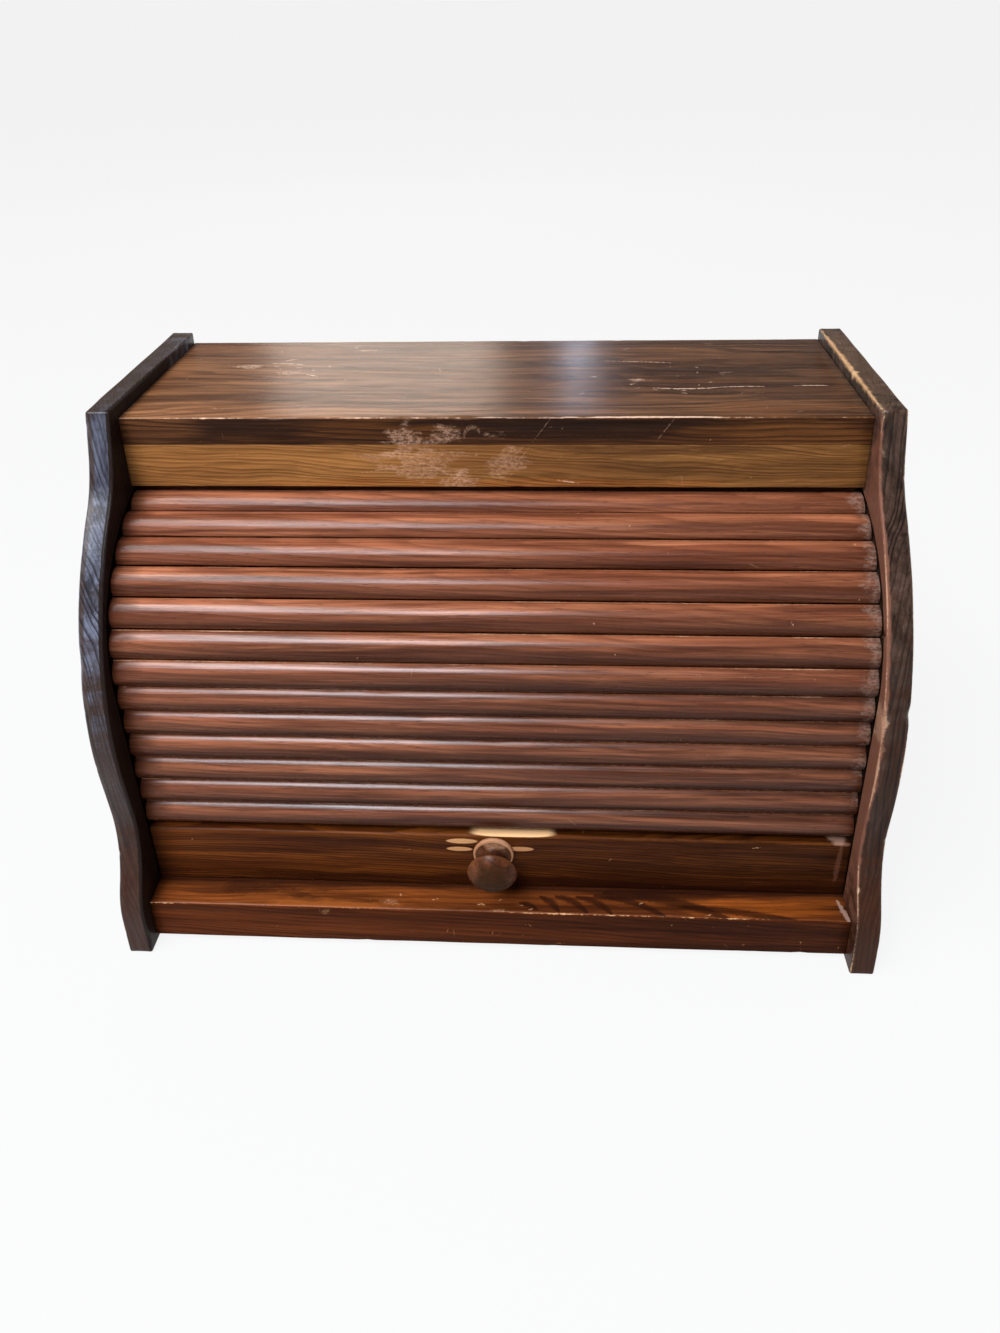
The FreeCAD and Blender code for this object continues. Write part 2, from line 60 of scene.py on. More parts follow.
Colour = tuple[float, float, float]
Place = tuple[float, float, float]
Flat = tuple[float, float]
Piece = bpy.types.Object
Material = bpy.types.Material
Mesh = bpy.types.Mesh
Tree = bpy.types.NodeTree
Socket = bpy.types.NodeSocket
Sockets = bpy.types.bpy_prop_collection
Knock = tuple[float, float, float, int]
Row = tuple[float, float, float, float, float]
Value = Union[float, int, Colour, Socket]
ORIGIN: Place = (0.0, 0.0, 0.0)


def paint(red: int, green: int, blue: int) -> Colour:
    """A colour named by its screen values from 0 to 255.

    Args:
        red: red part.
        green: green part.
        blue: blue part.

    Returns:
        The same colour in linear light.
    """

    def linear(part: int) -> float:
        """One part in linear light."""
        share = part / 255
        return share / 12.92 if share <= 0.04045 else ((share + 0.055) / 1.055) ** 2.4

    return linear(red), linear(green), linear(blue)


# Node nets


class Net:
    """A net of nodes: a short way to write a material, the world or a node group."""

    def __init__(self, tree: Tree) -> None:
        """Keep the tree that the nodes go into, and empty it."""
        self.tree = tree
        tree.nodes.clear()

    def add(self, kind: str, values: Optional[dict] = None, **settings: object) -> bpy.types.Node:
        """Add a node.

        Args:
            kind: its type, without the words that all of them begin with.
            values: what its inputs take, by their names or numbers.
            settings: its own properties.

        Returns:
            The node, with its inputs linked or set.
        """
        made = self.tree.nodes.new(kind if kind.startswith("NodeGroup") else "ShaderNode" + kind)
        for name, value in settings.items():
            setattr(made, name, value)
        for name, value in (values or {}).items():
            self.put(made.inputs[name], value)
        return made

    def put(self, socket: Socket, value: Value) -> None:
        """Link a socket's value in, or set it where it is a plain number or colour.

        Args:
            socket: the input that takes the value.
            value: an output socket, a number, a vector or a colour.
        """
        if isinstance(value, bpy.types.NodeSocket):
            self.tree.links.new(value, socket)
        elif socket.type == "RGBA":
            socket.default_value = (*value, 1.0)
        else:
            socket.default_value = value

    def math(self, operation: str, *values: Value, clamp: bool = False) -> Socket:
        """One arithmetic step on numbers."""
        made = self.add("Math", dict(enumerate(values)), operation=operation, use_clamp=clamp)
        return made.outputs[0]

    def plus(self, first: Value, second: Value) -> Socket:
        """The sum of two numbers."""
        return self.math("ADD", first, second)

    def minus(self, first: Value, second: Value, clamp: bool = False) -> Socket:
        """The difference of two numbers."""
        return self.math("SUBTRACT", first, second, clamp=clamp)

    def times(self, first: Value, second: Value, clamp: bool = False) -> Socket:
        """The product of two numbers."""
        return self.math("MULTIPLY", first, second, clamp=clamp)

    def times_plus(self, first: Value, second: Value, third: Value, clamp: bool = False) -> Socket:
        """The product of two numbers, plus a third."""
        return self.math("MULTIPLY_ADD", first, second, third, clamp=clamp)

    def most(self, first: Value, second: Value) -> Socket:
        """The larger of two numbers."""
        return self.math("MAXIMUM", first, second)

    def vector(self, operation: str, first: Value, second: Value) -> Socket:
        """One arithmetic step on two vectors that gives a vector."""
        return self.add("VectorMath", {0: first, 1: second}, operation=operation).outputs[0]

    def shift(self, first: Value, second: Value) -> Socket:
        """The sum of two vectors."""
        return self.vector("ADD", first, second)

    def stretch(self, first: Value, second: Value) -> Socket:
        """Two vectors multiplied part by part."""
        return self.vector("MULTIPLY", first, second)

    def scale(self, vector: Value, factor: Value) -> Socket:
        """A vector or colour times a number."""
        return self.add("VectorMath", {0: vector, "Scale": factor}, operation="SCALE").outputs[0]

    def measure(self, operation: str, *vectors: Value) -> Socket:
        """The length, distance or dot product of vectors, as a number."""
        return self.add("VectorMath", dict(enumerate(vectors)), operation=operation).outputs[1]

    def split(self, vector: Socket) -> list[Socket]:
        """The three parts of a vector."""
        return list(self.add("SeparateXYZ", {0: vector}).outputs)

    def join(self, x: Value, y: Value, z: Value) -> Socket:
        """A vector from its three parts."""
        return self.add("CombineXYZ", {0: x, 1: y, 2: z}).outputs[0]

    def noise(
        self, vector: Value, scale: Value = 1.0, detail: float = 2.0, rough: float = 0.5, out: str = "Fac"
    ) -> Socket:
        """A soft random field: a number centred on a half, or such a vector where out is Color."""
        values = {"Vector": vector, "Scale": scale, "Detail": detail, "Roughness": rough}
        return self.add("TexNoise", values).outputs[out]

    def step(self, value: Value, low: Value, high: Value, start: Value = 0.0, end: Value = 1.0) -> Socket:
        """A smooth step of a value from one range into another, held at the ends."""
        values = {"Value": value, "From Min": low, "From Max": high, "To Min": start, "To Max": end}
        return self.add("MapRange", values, interpolation_type="SMOOTHSTEP").outputs["Result"]

    def mix(self, share: Value, first: Value, second: Value) -> Socket:
        """Two colours mixed by a share from 0 to 1."""
        return self.add("Mix", {0: share, 6: first, 7: second}, data_type="RGBA").outputs[2]

    def attribute(self, name: str, out: str = "Fac") -> Socket:
        """What the mesh holds at each vertex under a name; zero where it holds nothing."""
        return self.add("Attribute", attribute_name=name, attribute_type="GEOMETRY").outputs[out]

    def use(self, effect: "Effect", **values: Value) -> Sockets:
        """Place an effect, with its inputs' names written with _ for spaces, and return its outputs."""
        named = {name.replace("_", " "): value for name, value in values.items()}
        return self.add("Group", named, node_tree=effect.tree()).outputs


class Effect:
    """A shader node group that more than one finish uses, built once."""

    name: str = ""
    inputs: dict[str, Union[float, Place]] = {}
    _made: dict[str, Tree] = {}

    def tree(self) -> Tree:
        """The group, made at its first use.

        Returns:
            The node group, with its named inputs and outputs.
        """
        if self.name not in self._made:
            group = bpy.data.node_groups.new(self.name, "ShaderNodeTree")
            self._made[self.name] = group
            for name, default in self.inputs.items():
                kind = "NodeSocketVector" if isinstance(default, tuple) else "NodeSocketFloat"
                socket = group.interface.new_socket(name=name, in_out="INPUT", socket_type=kind)
                socket.default_value = default
            net = Net(group)
            results = self.draw(net, net.add("NodeGroupInput").outputs)
            for name in results:
                group.interface.new_socket(name=name, in_out="OUTPUT", socket_type="NodeSocketFloat")
            net.add("NodeGroupOutput", results)
        return self._made[self.name]

    def draw(self, net: Net, given: Sockets) -> dict[str, Socket]:
        """Write the group's nodes.

        Args:
            net: where they go.
            given: the group's inputs by name.

        Returns:
            What its outputs take, by name.
        """
        raise NotImplementedError


class PineFigure(Effect):
    """Growth rings cut by the board's faces, with fine fibres, dark flecks and slow clouds of stain."""

    name = "Pine figure"
    inputs = {
        "Vector": ORIGIN,
        "Pith": (0.0, 0.0, -0.06),
        "Slope": 0.05,
        "Ring Width": 0.003,
        "Wander": 0.004,
        "Fine": 1.0,
    }

    def draw(self, net: Net, given: Sockets) -> dict[str, Socket]:
        """Rings are distances from a pith line that runs along X with a slope and wanders.

        Args:
            net: the nodes.
            given: the inputs by name.

        Returns:
            Masks for the dark part of each ring, fibres, flecks, clouds, dark streaks and pale flares.
        """
        place, bent = given["Vector"], given["Vector"]
        for run, detail, share in (((3.5, 15.0, 15.0), 2.0, 4.0), ((22.0, 95.0, 95.0), 1.0, 0.55)):
            sway = net.noise(net.stretch(place, run), detail=detail, out="Color")
            sway = net.vector("SUBTRACT", sway, (0.5, 0.5, 0.5))
            bent = net.shift(bent, net.scale(sway, net.times(given["Wander"], share)))
        x, y, z = net.split(net.vector("SUBTRACT", bent, given["Pith"]))
        z = net.times_plus(x, given["Slope"], z)
        rings = net.math("DIVIDE", net.measure("LENGTH", net.join(0.0, y, z)), given["Ring Width"])
        uneven = net.noise(net.join(net.times(rings, 0.37), 0.0, 0.0), detail=1.0)
        rings = net.times_plus(uneven, 2.2, rings)
        part = net.math("FRACT", rings)
        late = net.times(net.step(part, 0.30, 0.86), net.step(part, 0.90, 1.0, 1.0, 0.0))
        year = net.noise(net.join(net.math("FLOOR", rings), 0.5, 0.0), scale=7.3, detail=0.0)
        late = net.times(late, net.step(year, 0.25, 0.7, 0.35, 1.0))
        fine = net.noise(net.stretch(bent, (14.0, 1100.0, 1100.0)), detail=3.0, rough=0.6)
        coarse = net.noise(net.stretch(bent, (6.0, 260.0, 260.0)), detail=3.0, rough=0.55)
        fibre = net.times_plus(fine, 0.5, net.times(coarse, 0.5))
        dash = net.noise(net.stretch(place, (130.0, 2100.0, 2100.0)), detail=1.0)
        narrow = net.join(1.0, given["Fine"], given["Fine"])
        cloud = net.stretch(net.stretch(place, (6.0, 28.0, 28.0)), narrow)
        drawn = net.stretch(net.stretch(bent, (4.5, 120.0, 120.0)), narrow)
        aside = net.shift(net.stretch(drawn, (1.3, 0.6, 0.6)), (3.1, 0.7, 5.3))
        return {
            "Latewood": late,
            "Fibre": net.step(fibre, 0.30, 0.70),
            "Fleck": net.step(dash, 0.66, 0.76),
            "Cloud": net.step(net.noise(cloud, detail=4.0, rough=0.55), 0.28, 0.72),
            "Streak": net.step(net.noise(drawn, detail=5.0, rough=0.64), 0.40, 0.62),
            "Flare": net.step(net.noise(aside, detail=5.0, rough=0.66), 0.50, 0.68),
        }


class WornEdge(Effect):
    """Where the finish has rubbed through: along the arrises, broken up, and never in a clean line."""

    name = "Worn edge"
    inputs = {"Vector": ORIGIN, "Arris": 0.0, "Amount": 0.5, "Breaks": 60.0}

    def draw(self, net: Net, given: Sockets) -> dict[str, Socket]:
        """Two noises, long and short, decide how far from the arris the finish is gone.

        Args:
            net: the nodes.
            given: the inputs by name.

        Returns:
            Masks for bare wood and for the thinned finish round it.
        """
        place, breaks = given["Vector"], given["Breaks"]
        long_run = net.noise(place, scale=net.times(breaks, 0.35))
        short_run = net.noise(place, scale=net.times(breaks, 6.0), detail=3.0, rough=0.65)
        broken = net.times_plus(long_run, 0.65, net.times(short_run, 0.35))
        level = net.minus(1.02, given["Amount"])
        edge = net.times(given["Arris"], net.times_plus(broken, 1.1, 0.25))
        return {
            "Worn": net.step(edge, level, net.plus(level, 0.10)),
            "Extent": net.step(edge, net.minus(level, 0.35), net.plus(level, 0.15)),
        }


class Scratches(Effect):
    """Thin broken scratches at odd angles and small pale nicks."""

    name = "Scratches"
    inputs = {"Vector": ORIGIN, "Density": 0.5}
    angles = (0.35, -0.62, 1.15, -1.4)

    def draw(self, net: Net, given: Sockets) -> dict[str, Socket]:
        """Level lines of noises that are drawn out along a few directions, shown in patches.

        Args:
            net: the nodes.
            given: the inputs by name.

        Returns:
            Masks for the scratches and for the nicks.
        """
        place, density = given["Vector"], given["Density"]
        x, y, z = net.split(place)
        across = net.plus(y, z)
        gate = net.minus(0.84, net.times(density, 0.20))
        found: Value = 0.0
        for turn, angle in enumerate(self.angles):
            cosine, sine = cos(angle), sin(angle)
            ahead = net.plus(net.times(x, cosine), net.times(across, sine))
            aside = net.minus(net.times(across, cosine), net.times(x, sine))
            drawn = net.join(net.times(ahead, 9.0), net.times(aside, 48.0), 3.7 * turn)
            away = net.math("ABSOLUTE", net.minus(net.noise(drawn, detail=0.0), 0.5))
            patch = net.noise(net.shift(place, (0.31 * turn, 0.17, 0.05 * turn)), scale=64.0, detail=0.0)
            shown = net.step(patch, gate, net.plus(gate, 0.05))
            line = net.times(net.step(away, 0.002, 0.008, 1.0, 0.0), shown)
            found = net.most(found, line) if turn else line
        grit = net.noise(place, scale=1100.0, detail=1.0)
        smear = net.noise(place, scale=420.0, out="Color")
        spread = {"Vector": net.shift(place, net.scale(smear, 0.005)), "Scale": 260.0}
        dots = net.add("TexVoronoi", spread).outputs
        pick, _, size = net.split(dots["Color"])
        heart = net.step(dots["Distance"], 0.05, net.times_plus(size, 0.16, 0.08), 1.0, 0.0)
        chosen = net.step(pick, net.minus(0.985, net.times(density, 0.06)), 0.99)
        return {
            "Scratch": net.times(found, net.step(grit, 0.36, 0.58)),
            "Nick": net.times(heart, chosen),
        }


class OvalSpot(Effect):
    """One spot: an oval with a ragged rim, at a place on the piece; it draws wear, stains, painted light and
    painted shade alike.
    """

    name = "OvalSpot"
    inputs = {
        "Vector": ORIGIN,
        "Centre": ORIGIN,
        "Reach": (0.02, 0.02, 0.02),
        "Ragged": 0.6,
        "Along": 0.45,
        "Mottle": 0.0,
    }

    def draw(self, net: Net, given: Sockets) -> dict[str, Socket]:
        """Distance from the centre, measured in reaches, with noise added.

        Args:
            net: the nodes.
            given: the inputs by name.

        Returns:
            The spot's mask.
        """
        place, ragged = given["Vector"], given["Ragged"]
        away = net.vector("DIVIDE", net.vector("SUBTRACT", place, given["Centre"]), given["Reach"])
        rough = net.noise(
            net.stretch(place, net.join(given["Along"], 1.0, 1.0)), scale=120.0, detail=4.0, rough=0.65
        )
        distance = net.plus(
            net.measure("LENGTH", away), net.times(net.minus(rough, 0.5), net.times(ragged, 4.0))
        )
        rim = net.most(net.times_plus(ragged, -1.3, 1.08), 0.45)
        speck = net.noise(net.stretch(place, (0.6, 1.0, 1.0)), scale=800.0, detail=4.0, rough=0.7)
        lost = net.minus(net.step(speck, 0.40, 0.62), 1.0)
        kept = net.times_plus(lost, given["Mottle"], 1.0)
        return {"Extent": net.times(net.step(distance, rim, 1.15, 1.0, 0.0), kept, clamp=True)}


class Gouge(Effect):
    """One scratch between two points, bowed and broken up."""

    name = "Gouge"
    inputs = {
        "Vector": ORIGIN,
        "Start": ORIGIN,
        "Run": (0.02, 0.0, 0.0),
        "Width": 0.0004,
        "Bow": 0.0,
        "Broken": 1.0,
    }

    def draw(self, net: Net, given: Sockets) -> dict[str, Socket]:
        """Distance to the line from its start along its run, shifted across by the bow.

        Args:
            net: the nodes.
            given: the inputs by name.

        Returns:
            The scratch's mask.
        """
        run = given["Run"]
        away = net.vector("SUBTRACT", given["Vector"], given["Start"])
        length = net.measure("DOT_PRODUCT", run, run)
        share = net.math("DIVIDE", net.measure("DOT_PRODUCT", away, run), length, clamp=True)
        swell = net.times(net.minus(1.0, share), net.times(share, 4.0))
        bow = net.join(0.0, net.times(swell, given["Bow"]), 0.0)
        distance = net.measure("DISTANCE", away, net.shift(net.scale(run, share), bow))
        grit = net.noise(given["Vector"], scale=700.0, detail=3.0, rough=0.6)
        uneven = net.minus(net.step(grit, 0.35, 0.65, 0.1, 1.6), 1.0)
        wide = net.times(given["Width"], net.times_plus(uneven, given["Broken"], 1.0))
        wide = net.times(wide, net.times_plus(swell, 0.6, 0.4))
        return {"Mark": net.step(distance, net.times(wide, 0.4), wide, 1.0, 0.0)}


class Weave(Effect):
    """Plain weave: warp and weft threads that pass over and under each other."""

    name = "Weave"
    inputs = {"Vector": ORIGIN, "Threads": 1400.0}

    def draw(self, net: Net, given: Sockets) -> dict[str, Socket]:
        """Two sine waves across each other, in turn on top.

        Args:
            net: the nodes.
            given: the inputs by name.

        Returns:
            The threads' height, the gaps between them and the slubs along them.
        """
        x, y, z = net.split(given["Vector"])
        along = net.math("SINE", net.times(x, given["Threads"]))
        across = net.math("SINE", net.times(net.plus(y, z), given["Threads"]))
        warp_thread, weft_thread = net.math("ABSOLUTE", along), net.math("ABSOLUTE", across)
        over = net.step(net.times(along, across), -0.4, 0.4)
        return {
            "Height": net.times_plus(over, net.minus(warp_thread, weft_thread), weft_thread),
            "Gap": net.step(net.times(warp_thread, weft_thread), 0.0, 0.16, 1.0, 0.0),
            "Slub": net.noise(net.stretch(given["Vector"], (30.0, 420.0, 420.0)), detail=3.0),
        }


# Finishes


class Grain(Enum):
    """The way that the grain runs in a piece, as the order in which it takes X, Y and Z."""

    ALONG_X = (0, 1, 2)
    ALONG_Y = (1, 2, 0)
    ALONG_Z = (2, 1, 0)


@dataclass(frozen=True)
class Spot:
    """A spot on a finish, in metres, with the share of its colour that it shows; some are rubbed or stained,
    others are painted light and shade.
    """

    centre: Place
    reach: Place
    share: float = 0.6
    ragged: float = 0.5
    colour: Optional[Colour] = None
    mottle: float = 0.85
    along: float = 0.45
    under: bool = False

    def mask(self, net: Net, surface: Socket) -> Socket:
        """Where the spot shows, with its share."""
        sizes = {"Centre": self.centre, "Reach": self.reach, "Ragged": self.ragged}
        spot_mask = net.use(OvalSpot(), Vector=surface, **sizes, Along=self.along, Mottle=self.mottle)
        return net.times(spot_mask["Extent"], self.share)


@dataclass(frozen=True)
class Score:
    """A scratch or a stroke on a finish, from one point to another, in metres."""

    start: Place
    stop: Place
    width: float
    bow: float = 0.0
    share: float = 0.75
    colour: Optional[Colour] = None
    broken: float = 1.0

    def mask(self, net: Net, surface: Socket) -> Socket:
        """Where the scratch shows, with its share."""
        run = tuple(stop - start for start, stop in zip(self.start, self.stop))
        sizes = {"Start": self.start, "Run": run, "Width": self.width, "Bow": self.bow}
        gouge = net.use(Gouge(), Vector=surface, **sizes, Broken=self.broken)
        return net.times(gouge["Mark"], self.share)


@dataclass(frozen=True)
class Face:
    """A flat face that marks lie on: the number of the axis across it, and where it stands in mm."""

    axis: int
    level: float

    def point(self, first: float, second: float, level: float) -> Place:
        """A point from its two numbers along the face and one across it, in mm, as metres."""
        place = [first, second]
        place.insert(self.axis, level)
        return tuple(number * MM for number in place)

    def spots(self, *rows: Sequence) -> tuple[Spot, ...]:
        """Spots from rows of a middle and two reaches in mm, and then what Spot takes after them."""
        level = self.level
        return tuple(Spot(self.point(*row[:2], level), self.point(*row[2:4], 20.0), *row[4:]) for row in rows)

    def scores(self, *rows: Sequence) -> tuple[Score, ...]:
        """Scores from rows of two ends, a width and a bow in mm, and then what Score takes after them.

        Args:
            rows: the rows.

        Returns:
            One score for each row.
        """
        made = []
        for row in rows:
            start, stop = self.point(*row[:2], self.level), self.point(*row[2:4], self.level)
            made.append(Score(start, stop, row[4] * MM, row[5] * MM, *row[6:]))
        return tuple(made)

    def nicks(
        self, seed: float, count: int, middle: Flat, spread: Flat, *colour: Colour
    ) -> tuple[Score, ...]:
        """Short curved nicks strewn about a place.

        Args:
            seed: what makes one lot differ from the next.
            count: how many.
            middle: the middle of the lot, in mm along the face.
            spread: how far from it they lie each way.
            colour: their colour, or the finish's bare wood.

        Returns:
            One score for each nick.
        """
        centre, reach = self.point(*middle, self.level), self.point(*spread, 0.0)
        made = []
        for number in range(count):
            shifts = [1.6 * size * ripple(seed + 3.1 * number, 5.3 * axis) for axis, size in enumerate(reach)]
            start = tuple(place + shift for place, shift in zip(centre, shifts))
            turn = 7.0 * ripple(number * 2.3, seed)
            length = 2.0 + 5.0 * abs(ripple(seed, number * 1.9))
            step = self.point(length * cos(turn), 0.7 * length * sin(turn), 0.0)
            stop = tuple(place + ahead for place, ahead in zip(start, step))
            bow = 1.1 * MM * ripple(number * 1.3, seed)
            made.append(Score(start, stop, 0.5 * MM, bow, 0.55, *colour))
        return tuple(made)


class Finish:
    """What all the finishes share: one shader with relief, drawn in the piece's own coordinates."""

    name: str
    strength: float
    relief: float

    def draw(self, net: Net, surface: Socket) -> dict[str, Value]:
        """Write the finish's own nodes.

        Args:
            net: where they go.
            surface: the place on the piece.

        Returns:
            The shader's inputs by name, and the relief's Height.
        """
        raise NotImplementedError

    def build(self) -> Material:
        """Write the material.

        Returns:
            The material, whose colour, roughness and relief all change over the surface.
        """
        material = bpy.data.materials.new(self.name)
        material.use_nodes = True
        net = Net(material.node_tree)
        drawn = self.draw(net, net.add("TexCoord").outputs["Object"])
        relief = {"Strength": self.strength, "Distance": self.relief, "Height": drawn.pop("Height")}
        drawn["Normal"] = net.add("Bump", relief).outputs[0]
        shader = net.add("BsdfPrincipled", drawn)
        net.add("OutputMaterial", {"Surface": shader.outputs[0]})
        return material


@dataclass(frozen=True)
class Pine(Finish):
    """Pine under a worn, stained varnish, or bare."""

    name: str
    body: Colour
    deep: Colour
    bright: Colour
    line: Colour
    bare: Colour = paint(206, 160, 112)
    grain: Grain = Grain.ALONG_X
    pith: Place = (0.0, 0.02, -0.07)
    slope: float = 0.05
    ring_width: float = 3.0 * MM
    wander: float = 4.0 * MM
    streak_share: float = 0.6
    cloud_share: float = 0.4
    flare_share: float = 0.5
    fibre_share: float = 0.6
    line_share: float = 0.6
    fleck_share: float = 0.35
    fine: float = 1.0
    # Colour of the painted shade, mixed in where the mesh's painted shade mask is high.
    shade_paint: Colour = paint(20, 12, 9)
    wear: float = 0.45
    breaks: float = 60.0
    scratches: float = 0.4
    gloss: float = 0.34
    shine: float = 0.35
    strength: float = 0.6
    relief: float = 0.25 * MM
    # Painted light: the change in brightness from the middle to the right end, as a share; below zero the
    # left end is lighter.
    painted_light_drift: float = 0.0
    spots: tuple[Spot, ...] = ()
    scores: tuple[Score, ...] = ()

    def stained(self, net: Net, surface: Socket, figure: Sockets) -> Socket:
        """The stained wood before it was worn.

        Args:
            net: the nodes.
            surface: the place on the piece.
            figure: the pine figure's masks.

        Returns:
            Its colour, with painted light that drifts from the left to the right end, and a tone that differs
            from piece to piece and on the slats holds painted light and shade.
        """
        tone = net.mix(net.times(figure["Cloud"], self.cloud_share), self.body, self.bright)
        tone = net.mix(net.times(figure["Streak"], self.streak_share), tone, self.deep)
        tone = net.mix(net.times(figure["Flare"], self.flare_share), tone, self.bright)
        for spot in (spot for spot in self.spots if spot.under):
            tone = net.mix(spot.mask(net, surface), tone, spot.colour or self.bare)
        tone = net.mix(net.times(figure["Latewood"], self.line_share), tone, self.line)
        tone = net.mix(net.times(figure["Fleck"], self.fleck_share), tone, self.deep)
        shade = net.times_plus(figure["Fibre"], self.fibre_share, 1.0 - self.fibre_share / 2)
        shade = net.plus(net.attribute("tone"), shade)
        # Painted light: the brightness changes along X, lighter on the side of the lamps.
        along = net.math("DIVIDE", net.split(surface)[0], HALF_INSIDE)
        return net.scale(tone, net.times_plus(along, self.painted_light_drift, shade))

    def draw(self, net: Net, surface: Socket) -> dict[str, Value]:
        """Stain, then painted shade in the nooks and on the slats' lower halves, worn arrises, scratches,
        spots and scores over each other.

        Args:
            net: the nodes.
            surface: the place on the piece.

        Returns:
            The shader's inputs by name, and the relief's Height.
        """
        parts = net.split(surface)
        turned = net.join(*(parts[index] for index in self.grain.value))
        place = net.shift(turned, net.attribute("plank", "Vector"))
        sizes = {"Pith": self.pith, "Slope": self.slope, "Wander": self.wander, "Fine": self.fine}
        figure = net.use(PineFigure(), Vector=place, Ring_Width=self.ring_width, **sizes)
        # Painted shade: a mask held on the mesh darkens the colour towards the shade colour and thins the
        # coat.
        painted_shade = net.attribute("painted_shade")
        tone = net.mix(net.times(painted_shade, 0.85), self.stained(net, surface, figure), self.shade_paint)
        worn = {"Arris": net.attribute("arris"), "Amount": self.wear, "Breaks": self.breaks}
        edge = net.use(WornEdge(), Vector=surface, **worn)
        marks = net.use(Scratches(), Vector=surface, Density=self.scratches)
        tone = net.mix(net.times(edge["Extent"], 0.45), tone, self.bright)
        bared = net.most(edge["Worn"], net.times(marks["Scratch"], 0.20))
        bared = net.most(bared, net.times(marks["Nick"], 0.55))
        tone = net.mix(bared, tone, self.bare)
        dull = bared
        for spot in (spot for spot in self.spots if not spot.under):
            share = spot.mask(net, surface)
            tone = net.mix(share, tone, spot.colour or self.bare)
            dull = net.most(dull, share)
        for score in self.scores:
            tone = net.mix(score.mask(net, surface), tone, score.colour or self.bare)
        clean = net.minus(1.0, net.most(painted_shade, net.times(dull, 0.8)), clamp=True)
        film = net.times(clean, net.times_plus(figure["Fibre"], 0.7, 0.55))
        smear = net.noise(surface, scale=45.0, detail=3.0, rough=0.6)
        rough = net.times_plus(smear, 0.16, self.gloss - 0.08)
        rough = net.times_plus(figure["Fibre"], 0.05, rough)
        height = net.times(figure["Fibre"], 0.40)
        layers = ((figure["Latewood"], 0.45), (figure["Fleck"], -0.35), (bared, -0.5), (smear, 0.8))
        for part, share in layers:
            height = net.times_plus(part, share, height)
        return {
            "Base Color": tone,
            "Coat Weight": net.times(film, 1.7 * self.shine, clamp=True),
            "Coat Roughness": self.gloss,
            "Specular IOR Level": 0.2 * self.shine,
            "Roughness": net.times_plus(dull, 0.30, rough, clamp=True),
            "Height": height,
        }


@dataclass(frozen=True)
class Plywood(Finish):
    """Thin plywood: a rotary-cut face and the ends of its plies along the edges."""

    name: str
    body: Colour
    deep: Colour
    ply: float = 2.0 * MM
    strength: float = 0.5
    relief: float = 0.2 * MM

    def draw(self, net: Net, surface: Socket) -> dict[str, Value]:
        """Wide wild figure on the faces, and stripes of the plies where the surface faces sideways.

        Args:
            net: the nodes.
            surface: the place on the piece.

        Returns:
            The shader's inputs by name, and the relief's Height.
        """
        sizes = {"Pith": (0.0, 0.03, -0.2), "Slope": 0.12, "Wander": 14.0 * MM}
        figure = net.use(PineFigure(), Vector=surface, Ring_Width=11.0 * MM, **sizes)
        tone = net.mix(net.times(figure["Latewood"], 0.5), self.body, self.deep)
        tone = net.mix(net.times(figure["Fibre"], 0.35), tone, self.deep)
        tone = net.mix(net.times(figure["Cloud"], 0.25), tone, paint(150, 118, 84))
        turn = net.math("FRACT", net.math("DIVIDE", net.split(surface)[1], 2.0 * self.ply))
        layer = net.times(net.step(turn, 0.44, 0.5), net.step(turn, 0.94, 1.0, 1.0, 0.0))
        facing = net.split(net.add("NewGeometry").outputs["Normal"])[1]
        plies = net.times(layer, net.step(net.math("ABSOLUTE", facing), 0.3, 0.6, 1.0, 0.0))
        return {
            "Base Color": net.mix(net.times(plies, 0.6), tone, self.deep),
            "Specular IOR Level": 0.2,
            "Roughness": net.times_plus(figure["Fibre"], 0.15, 0.62),
            "Height": net.times_plus(figure["Fibre"], 0.7, plies),
        }


@dataclass(frozen=True)
class Canvas(Finish):
    """Unbleached cotton canvas, stained by the glue and by handling."""

    name: str
    body: Colour
    stain: Colour
    threads: float = 4200.0
    strength: float = 0.8
    relief: float = 0.25 * MM

    def draw(self, net: Net, surface: Socket) -> dict[str, Value]:
        """The weave over blots of stain.

        Args:
            net: the nodes.
            surface: the place on the piece.

        Returns:
            The shader's inputs by name, and the relief's Height.
        """
        weave = net.use(Weave(), Vector=surface, Threads=self.threads)
        blot = net.noise(surface, scale=22.0, detail=4.0, rough=0.6)
        tone = net.mix(net.step(blot, 0.42, 0.72), self.body, self.stain)
        tone = net.mix(net.times(weave["Gap"], 0.55), tone, paint(84, 66, 46))
        return {
            "Base Color": net.mix(net.times(weave["Slub"], 0.3), tone, paint(222, 205, 172)),
            "Specular IOR Level": 0.15,
            "Sheen Weight": 0.25,
            "Roughness": net.times_plus(weave["Gap"], 0.1, 0.82),
            "Height": weave["Height"],
        }


@dataclass(frozen=True)
class Steel(Finish):
    """Old plain steel: dulled, with rust in its low places."""

    name: str
    body: Colour
    rust: Colour
    strength: float = 0.5
    relief: float = 0.08 * MM

    def draw(self, net: Net, surface: Socket) -> dict[str, Value]:
        """Blots of rust on grey steel.

        Args:
            net: the nodes.
            surface: the place on the piece.

        Returns:
            The shader's inputs by name, and the relief's Height.
        """
        rusty = net.step(net.noise(surface, scale=700.0, detail=5.0, rough=0.65), 0.52, 0.66)
        return {
            "Base Color": net.mix(rusty, self.body, self.rust),
            "Metallic": net.times_plus(rusty, -0.9, 0.95),
            "Roughness": net.times_plus(rusty, 0.4, 0.38),
            "Height": net.plus(net.noise(surface, scale=5200.0), rusty),
        }


# Shapes


EVEN_SHADING = "Even shading"
SHARP_FROM = radians(40)
SAME_PLACE = 0.02 * MM
CANVAS_GAP = 0.05 * MM


def ripple(*place: float) -> float:
    """Smooth noise from -1 to 1 at a place of up to three numbers."""
    return noise.noise(Vector((*place, 0.0, 0.0, 0.0)[:3]))


